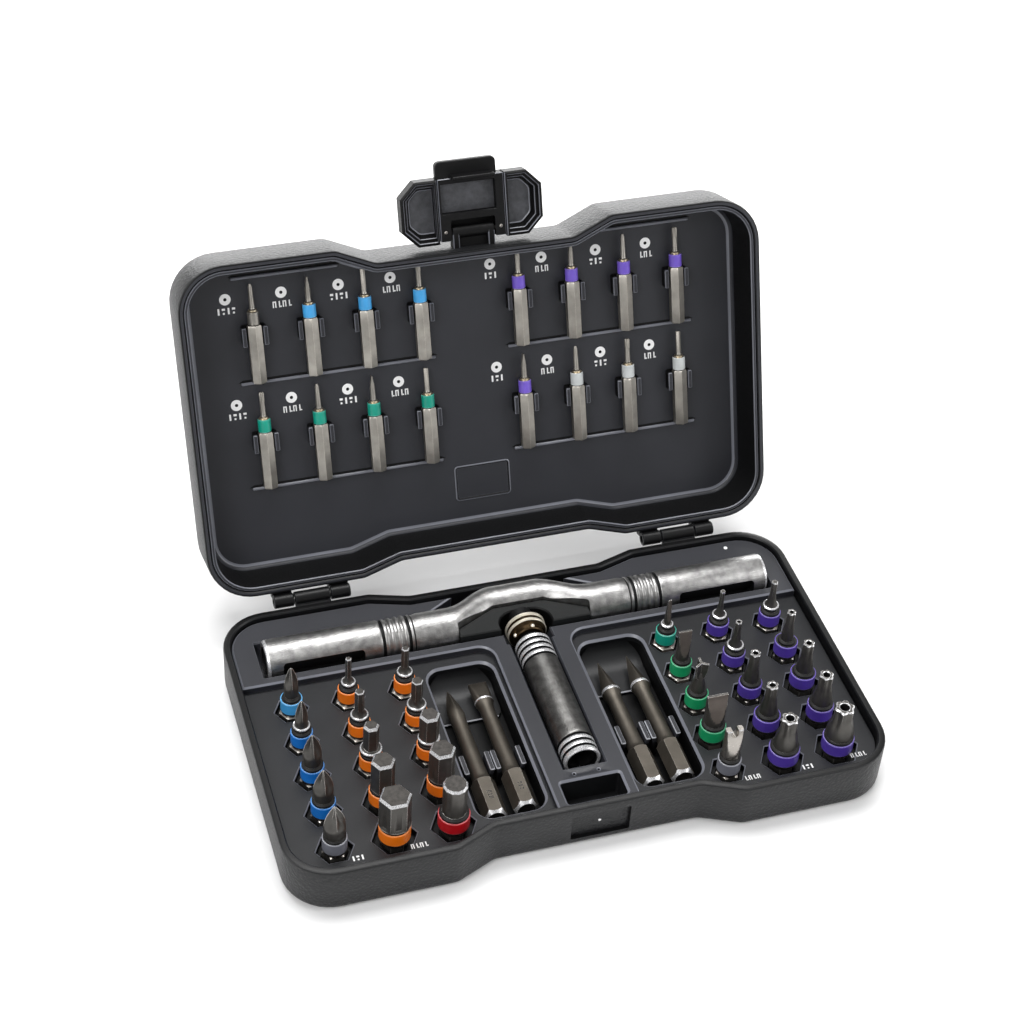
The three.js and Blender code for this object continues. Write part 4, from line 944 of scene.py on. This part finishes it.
def driver():
    core = lathe([(5.5, HANDLE_Y - 8), (5.5, 35.2)], 1, ROUND, DRIVER_AXIS)
    flat = [(-20.6, 20, 0.2), (20.6, 20, 0.2), (20.6, 29.3, 0.7), (8, 35.4, 2.5), (-8, 35.4, 2.5),
            (-20.6, 29.3, 0.7)]
    shelf = about_middle(flat, 5)
    cut = Shape().loft([at(inset(shelf, -0.1), 5), at(inset(shelf, -0.1), 30)], 0)
    piece("yoke_body", yoke_shape(), [ALUMINIUM, DARK_PARTS_AND_GROOVE_SHADE], *HANDLE, ["handle_yoke"], cuts=[core, cut])
    for name, side in (("left", -1), ("right", 1)):
        grooves, looks = groove_profile(ARM_R, ARM_SEAM + 0.9, 2, 5, 0.42, (0, 4))
        looks = [0 if look == 2 else look for look in looks]
        profile = [(4.2, ARM_SEAM), (ARM_R - 0.3, ARM_SEAM), (ARM_R, ARM_SEAM + 0.25)] + grooves
        bands = [1, 0, 0] + looks
        bands[-1] = 0
        profile += [(ARM_R, ARM_END - 0.9), (ARM_R - 0.25, ARM_END - 0.25), (ARM_R - 0.7, ARM_END),
                    (4.2, ARM_END)]
        bands += [2, 2, 0, 1]
        outward = ALONG_X if side > 0 else Matrix.Rotation(math.pi, 4, "Z") @ ALONG_X
        turn = shift(MIDDLE, HANDLE_Y, AXIS_Z) @ outward
        tube = lathe(profile, bands, ROUND, turn, closed=True)
        along = sorted((MIDDLE + side * 49.5, MIDDLE + side * 74))
        slot = rectangle(along, (AXIS_Z - 2.9, AXIS_Z + 2.9), 1.1, 5)
        front = HANDLE_Y - ARM_R
        window = Shape().loft([at(slot, -front + 2), at(slot, -HANDLE_Y)], [1]).moved(FACING_FRONT)
        piece(f"arm_{name}_tube", tube, [ALUMINIUM, DARK_PARTS_AND_GROOVE_SHADE, BRIGHT], *HANDLE, [f"arm_{name}"],
              cuts=[window])
        disc = lathe([(0.6, ARM_END - 3.6), (3.7, ARM_END - 3.6), (3.9, ARM_END - 3.3), (3.9, ARM_END - 0.7),
                      (3.6, ARM_END - 0.4), (1.2, ARM_END - 0.4), (0.9, ARM_END - 0.8)], 0, ROUND, turn)
        piece(f"arm_{name}_end", disc, DARK_PARTS_AND_GROOVE_SHADE, *HANDLE, [f"arm_cap_{name}"])
        # A near-black lining behind each arm's window: painted shade inside the tube.
        lining = lathe([(2.6, ARM_SEAM + 10), (4.15, ARM_SEAM + 10), (4.15, ARM_END - 4), (2.6, ARM_END - 4)],
                       0, ROUND, turn, closed=True)
        piece(f"arm_{name}_lining", lining, PAINTED_SHADE_BLACK, *HANDLE)
    inner = [(x, max(y, 26), max(r, 0.6)) for x, y, r in flat]
    liner = plate(about_middle(inner, 5), (7.4, 16.4), 0.35, looks=[0, 0])
    hollow = about_middle(((-8, 20, 0.8), (8.6, 20, 0.8), (8.6, 33, 5.5), (-8, 33, 5.5)), 10)
    cavity = Shape().loft([at(inset(hollow, 0.5), 8.4), at(inset(hollow, 0.2), 16),
                           at(inset(hollow, -0.2), 16.4), at(inset(hollow, -0.2), 20)], [1, 1, 1])
    piece("yoke_liner_plate", liner, [LINER, PAINTED_SHADE_BLACK], "handle", "liner_plastic", ["yoke_liner"], cuts=[cavity])
    hub = lathe([(1, 27.9), (3.4, 27.9), (3.6, 28.2), (3.6, 32.6), (3.2, 32.8), (1, 32.8)], 0, ROUND,
                DRIVER_AXIS)
    piece("ratchet_hub", hub, DARK_PARTS_AND_GROOVE_SHADE, "handle", "ratchet_steel", ["ratchet_core"])
    profile = [(3.3, 22.4), (4.3, 22.4), (4.6, 22.7), (4.6, 24.1), (5.2, 24.4), (5.8, 24.6), (6.05, 24.85),
               (6.05, 25.5), (5.8, 25.75), (5.35, 25.85), (5.35, 26.5), (5.9, 26.6), (6.2, 26.85),
               (6.2, 27.6), (5.9, 27.9), (3.3, 27.9)]
    looks = [1, 1, 1, 1, 1, 2, 2, 2, 1, 1, 1, 2, 2, 2, 0, 1]
    collar = lathe(profile, looks, ROUND, DRIVER_AXIS, closed=True)
    for angle in (-70, 12, 95, 180):
        spot = DRIVER_AXIS @ Matrix.Rotation(math.radians(angle), 4, "Z") @ shift(4.45, 0, 23.35)
        curve = [(0.7 * math.sin(math.pi * i / 8), -0.7 * math.cos(math.pi * i / 8)) for i in range(1, 8)]
        collar.add(lathe(curve, 2, 16, spot))
    piece("selector_ring", collar, [BRASS, BRONZE, BRIGHT_BRASS], "selector", "collar_brass",
          ["selector_collar"])
    stem()


def stem():
    front, back = -28, 20
    low, low_looks = groove_profile(STEM_R, front + 1.5, 2.2, 3, 0.6)
    high, high_looks = groove_profile(STEM_R, back - 9.2, 2.2, 4, 0.6)
    low_looks[-3:] = [0, 0, 0]
    profile = [(4.5, front + 21), (4.5, front + 0.35), (4.85, front), (STEM_R - 0.35, front),
               (STEM_R, front + 0.35)]
    profile += low + high + [(STEM_R - 0.5, back), (3, back), (3, 33)]
    bands = [3, 2, 2, 2, 2] + low_looks + high_looks + [1, 1]
    shape = lathe(profile, bands[:len(profile) - 1], ROUND, DRIVER_AXIS)
    piece("stem_tube", shape, [STEM, DARK_PARTS_AND_GROOVE_SHADE, BRIGHT, PAINTED_SHADE_BLACK], "stem", "stem_aluminium", ["stem_barrel"])


# ---- bits --------------------------------------------------------------------------------------
def lobed(radius, depth=0.1):
    return lambda angle: radius * (1 - depth + depth * math.cos(6 * angle))


def fluted(radius, depth):
    return lambda angle: radius * (1 - depth * abs(math.sin(2 * angle)) ** 0.8)


def winged(radius, half):
    def at_angle(angle):
        off = abs((angle - math.pi / 2 + math.pi / 3) % (2 * math.pi / 3) - math.pi / 3)
        return min(radius, half / max(math.sin(off), 1e-3))
    return at_angle


def clipped(radius, half, z):
    return [(x, max(-half, min(half, y)), z) for x, y, _ in polar(radius, z)]


def collar_levels(neck):
    """The dark shoulder and the bright little collar under a small tip."""
    return [ring(neck + 0.9, 14.3, 4), ring(neck + 0.75, 14.9, 4), ring(neck + 0.75, 15.0, 3),
            ring(neck + 0.95, 15.15, 3), ring(neck + 0.95, 15.55, 3), ring(neck + 0.55, 15.75)]


def hex_tip(size):
    rings = []
    if size < 5.6:
        neck = min(size / 2 + 0.35, 2.2)
        rings += collar_levels(neck)
        rings += [ring(neck, 16.6), ring(size / 2 + 0.1, 17.6)] if size < 3.5 else []
    crown = 0.35 if size < 3.5 else 0.8
    foot = 17.8 if size < 3.5 else 16 if size < 5.6 else 14.9
    rings += [ring(hexagon(size), foot), ring(hexagon(size), TOP - crown, 3),
              ring(hexagon(size, 1 - 1.3 * crown / size), TOP, 6)]
    return rings


def cross_tip(radius, collar=False):
    if collar:
        rings = collar_levels(radius - 0.3)
    else:
        rings = [ring(radius * 0.95, 14.6), ring(radius, 15.6)]
    rings.append(ring(radius * 1.02, 16.8))
    for i in range(1, 15):
        t = i / 14
        z = 16.8 + (TOP - 16.8) * t
        r = radius * 1.02 * (1 - t ** 2.1) + 0.45 * t
        depth = min(0.7, 1.1 * max(0.0, t - 0.12) ** 0.75)
        rings.append(ring(fluted(r, depth), z))
    return rings


def star_tip(radius, drilled):
    rings = []
    if radius < 1.3:
        rings += collar_levels(radius + 0.45)
        rings += [ring(radius * 1.4, 17), ring(radius * 1.12, 19)]
    else:
        rings += [ring(radius * 1.38, 14.6), ring(lobed(radius * 1.3, 0.02), 16.4),
                  ring(lobed(radius * 1.15, 0.05), 18.6)]
    rings += [ring(lobed(radius), 20), ring(lobed(radius), TOP - 0.4, 3), ring(lobed(radius * 0.86), TOP)]
    if drilled:
        # The hole's walls and floor take look 4, a painted shade.
        rings += [ring(radius * 0.56, TOP, 3), ring(radius * 0.48, TOP - 0.15, 4), ring(radius * 0.46, 22, 4)]
    return rings


def blade_tip(width, thickness, taper=1.0):
    """A round shaft ground flat on both sides, with its width tapered towards the end."""
    half = width / 2
    small = width < 2.8
    rings = collar_levels(0.9) if small else []
    start = 16.1 if small else 15
    rings += [ring(half, start - 0.3)]
    for i in range(13):
        t = i / 12
        z = start + (TOP - 0.2 - start) * t
        flat = clipped(half, half + (thickness / 2 - half) * min(1, t * 1.1), z)
        rings.append(([(x * (1 + (taper - 1) * t), y, z) for x, y, _ in flat], 0))
    rings[-1] = (rings[-1][0], 3)
    rings.append(([(x * taper, y, z) for x, y, z in clipped(half * 0.97, thickness / 2 * 0.7, TOP)], 0))
    return rings


def fork_tip(radius):
    rings = [ring(radius * 1.15, 14.6), ring(radius * 1.1, 16), ring(radius * 0.7, 19.2)]
    rings += [ring(winged(radius * 0.95, 0.38), 20.8), ring(winged(radius * 1.15, 0.36), 22.6),
              ring(winged(radius * 1.2, 0.34), TOP - 0.25, 3), ring(winged(radius * 1.12, 0.28), TOP)]
    return rings


def prong_tip(radius):
    """A flattened shaft whose end carries two prongs once its notch is cut."""
    rings = [ring(radius, 14.6, 2), ring(radius, 16, 2)]
    for i in range(9):
        t = i / 8
        rings.append((clipped(radius, radius + (1.1 - radius) * min(1, t * 1.3), 16.2 + (TOP - 16.5) * t), 2))
    rings[-1] = (rings[-1][0], 3)
    rings.append((clipped(radius * 0.96, 0.9, TOP), 2))
    return rings


def spline_tip(radius):
    toothed = lambda scale: (lambda angle: scale * radius * (0.975 + 0.025 * math.cos(12 * angle)))
    return [ring(toothed(1), 14.2), ring(toothed(1), TOP - 0.7, 3), ring(toothed(0.86), TOP, 6)]


def ground_flats(shape, look):
    """Gives a look to the faces that are ground flat across Y."""
    for i, face in enumerate(shape.faces):
        if len(face) == 4:
            a, b, c, d = (shape.points[j].y for j in face)
            if abs(a - b) < 1e-5 and abs(c - d) < 1e-5:
                shape.looks[i] = look


TIPS = {  # what shapes each tip, and its sizes
    -74.2: [(cross_tip, 2), (cross_tip, 1.8, True)] + [(cross_tip, radius) for radius in (2.6, 2.8, 3)],
    -57.4: [(hex_tip, size) for size in (1.6, 2.5, 4, 6, 8)],
    -40.6: [(hex_tip, size) for size in (2, 3, 5.2, 6.6)] + [(spline_tip, 3.5)],
    40.6: [(blade_tip, 2.2, 0.5, 0.4), (blade_tip, 4, 0.8), (fork_tip, 1.9), (blade_tip, 5.8, 1, 1.1),
           (prong_tip, 2.6)],
    57.4: [(star_tip, 0.8, False)] + [(star_tip, radius, True) for radius in (1.1, 1.7, 1.9, 2.6)],
    74.2: [(star_tip, 1, False)] + [(star_tip, radius, True) for radius in (1.4, 1.8, 2.2, 3)],
}


def standing_bit(name, column, row):
    place = shift(column, ROWS[row], FOOT)
    ring_r = RING_R[column][row]
    make_tip, *sizes = TIPS[column][row]
    tip = make_tip(*sizes)
    widest = max(math.hypot(x, y) for x, y, _ in tip[0][0])
    shoulder = min(ring_r - 0.3, widest + 0.7)
    levels = [ring(hexagon(SHANK, 0.92), 0), ring(hexagon(SHANK), 0.35), ring(hexagon(SHANK), 7.5, 2),
              ring(ring_r - 0.25, 7.7, 2), ring(ring_r - 0.1, 8.6, 4), ring(ring_r - 0.12, 8.85, 1),
              ring(ring_r, 9.0, 1), ring(ring_r, 12.8, 1), ring(ring_r - 0.12, 12.95, 1),
              ring(ring_r - 0.3, 13.0, 4), ring(shoulder, 13.05, 4), ring(shoulder, 13.7, 4),
              ring(shoulder - 0.3, 14.0, 4), ring(widest, 14.15)]
    levels += tip
    rings = [points for points, _ in levels]
    looks = [look for _, look in levels][:-1]
    shape = Shape().loft(rings, looks, caps=(0, tip[-1][1])).moved(place)
    finish = [STEEL, PAINT[RING_COLOUR[column][row]], FLANGE, BRIGHT, MARK_AND_HOLE_SHADE, GROUND, BIT_END]
    if name.startswith("slot"):
        ground_flats(shape, 5)
    cuts = []
    if name.startswith("prong"):
        slot = [(-0.95, 23.2), (0, 22.3), (0.95, 23.2), (0.95, 27), (-0.95, 27)]
        points = outline([(x, z, 0.05 if z > 26 else 0.45) for x, z in slot], 4)
        cutter = Shape().loft([at(points, -5), at(points, 5)], 2).moved(FACING_FRONT)
        cuts.append(cutter.moved(place))
    piece(f"{name}_fine", shape, finish, name, "bit_steel", [name], cuts=cuts)


def turned_edge(z, lean):
    """A hexagon's end turned to a cone, so the edge dips at the middle of each flat."""
    return [(x, y, z + lean * (math.hypot(x, y) - 2.6)) for x, y, _ in polar(hexagon(SHANK))]


def long_bit(name):
    low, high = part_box(name)
    x, y, z = (low.x + high.x) / 2 / MM, low.y / MM, 8.2
    length = (high.y - low.y) / MM
    turn = math.pi / 6 + math.pi / 3
    levels = [ring(1.9, 0.5, 4), ring(2.1, 0.02, 4), ring(2.6, 0.02, 3),
              (turned_edge(0.1, 1), 0), (turned_edge(13.9, -1), 0), ring(2.75, 14),
              ring(2.6, 15.2), ring(2.5, 18), ring(2.2, 34)]
    if name.endswith("awl"):
        levels += [ring(2.3, length - 12), ring(2.5, length - 10), ring(fluted(2.4, 0.12), length - 8),
                   ring(fluted(1.75, 0.34), length - 5), ring(fluted(0.95, 0.4), length - 2),
                   ring(0.2, length)]
    elif name.endswith("slot"):
        levels += [ring(2.2, length - 10.5), ring(2.6, length - 8.6), ring(2.85, length - 8.1, 3),
                   ring(2.85, length - 7.5, 3), ring(2.6, length - 7.2), (clipped(2.7, 2.2, length - 6.9), 0),
                   (clipped(2.8, 1.9, length - 5.6), 0), (clipped(2.8, 0.7, length - 0.3), 0),
                   (clipped(2.7, 0.5, length), 0)]
    else:
        levels += [ring(2.3, length - 15.5), ring(2.7, length - 13.6), ring(2.9, length - 12.9, 3),
                   ring(2.9, length - 12.2, 3), ring(2.75, length - 11.8),
                   ring(fluted(2.6, 0.1), length - 10.6), ring(fluted(1.75, 0.26), length - 6.8),
                   ring(fluted(0.9, 0.34), length - 3), ring(0.2, length)]
    shape = Shape().loft([points for points, _ in levels], [look for _, look in levels][:-1])
    shape.moved(shift(x, y, z) @ ALONG_Y @ Matrix.Rotation(turn, 4, "Z"))
    if name.endswith(("awl", "slot")):
        marks = print_marks(0, 0, 0, 3, 1 + name.endswith("slot"), 0.95)
        marks.moved(shift(x + 0.1, y + 6.6, z + SHANK / 2 - 0.02) @ Matrix.Rotation(-math.pi / 2, 4, "Z"))
        marks.looks = [4] * len(marks.looks)
        shape.add(marks)
    piece(f"{name}_fine", shape, [LONG, LONG, LONG, BRIGHT, MARK_AND_HOLE_SHADE], name, "long_bit_steel", [name])


# ---- assembly ----------------------------------------------------------------------------------
base_case()
base_tray()
cradles()
base_marks()
lid_case()
lid_insert()
lid_contents()
latch()
driver()
for standing in standing_places():
    standing_bit(*standing)
for bit_name in ("long_bit_awl", "long_bit_slot", "long_bit_cross_1", "long_bit_cross_2"):
    long_bit(bit_name)
for bit_name, look in (("hinge_pin_left", PIN), ("hinge_pin_right", PIN), ("latch_pin", PIN),
                       ("bit_socket", DARK_PARTS_AND_GROOVE_SHADE), ("socket_magnet", DARK_PARTS_AND_GROOVE_SHADE)):
    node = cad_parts[bit_name]
    node.data.materials.clear()
    node.data.materials.append(look)


# ---- stage, light and camera ---------------------------------------------------------------------
def area_light(name, place, target, size, power):
    data = bpy.data.lights.new(name, "AREA")
    data.shape = "RECTANGLE"
    data.size, data.size_y = size
    data.energy = power
    lamp = bpy.data.objects.new(name, data)
    bpy.context.scene.collection.objects.link(lamp)
    lamp.location = place
    lamp.rotation_mode = "QUATERNION"
    lamp.rotation_quaternion = (Vector(target) - Vector(place)).to_track_quat("-Z", "Y")


def stage():
    mesh = bpy.data.meshes.new("floor")
    mesh.from_pydata([(-8, -8, 0), (8, -8, 0), (8, 8, 0), (-8, 8, 0)], [], [(0, 1, 2, 3)])
    mesh.materials.append(STAGE)
    floor = new_object("floor", mesh)
    floor.location.z = -0.0002
    world = bpy.data.worlds.new("studio")
    world.use_nodes = True
    world.node_tree.nodes["Background"].inputs["Color"].default_value = (1, 1, 1, 1)
    world.node_tree.nodes["Background"].inputs["Strength"].default_value = 0.36
    bpy.context.scene.world = world
    area_light("top_box", (0.0, 0.3, 1.1), (0, 0.02, 0.03), (0.9, 0.5), 12)
    area_light("key_box", (-0.75, -0.55, 0.9), (0, 0, 0.04), (0.6, 0.6), 7)
    area_light("fill_box", (0.9, -0.5, 0.6), (0, 0, 0.04), (0.5, 0.7), 4)
    area_light("back_panel", (0.25, 1.25, 0.28), (0, 0.1, 0.08), (1.5, 0.5), 15)
    bpy.context.scene.view_settings.view_transform = "Standard"


def camera():
    azimuth, elevation, roll = math.radians(19.71), math.radians(41.84), math.radians(4.06)
    forward = Vector((math.sin(azimuth) * math.cos(elevation), math.cos(azimuth) * math.cos(elevation),
                      -math.sin(elevation)))
    level = Vector((math.cos(azimuth), -math.sin(azimuth), 0))
    upright = level.cross(forward)
    right = level * math.cos(roll) + upright * math.sin(roll)
    up = upright * math.cos(roll) - level * math.sin(roll)
    turn = Matrix((right, up, -forward)).transposed().to_4x4()
    data = bpy.data.cameras.new("camera")
    data.lens = 77.43
    data.sensor_width = 36
    data.clip_start = 0.01
    made = bpy.data.objects.new("camera", data)
    bpy.context.scene.collection.objects.link(made)
    made.matrix_world = shift(-0.1641, -0.4137, 0.4817) @ turn
    bpy.context.scene.camera = made


stage()
camera()
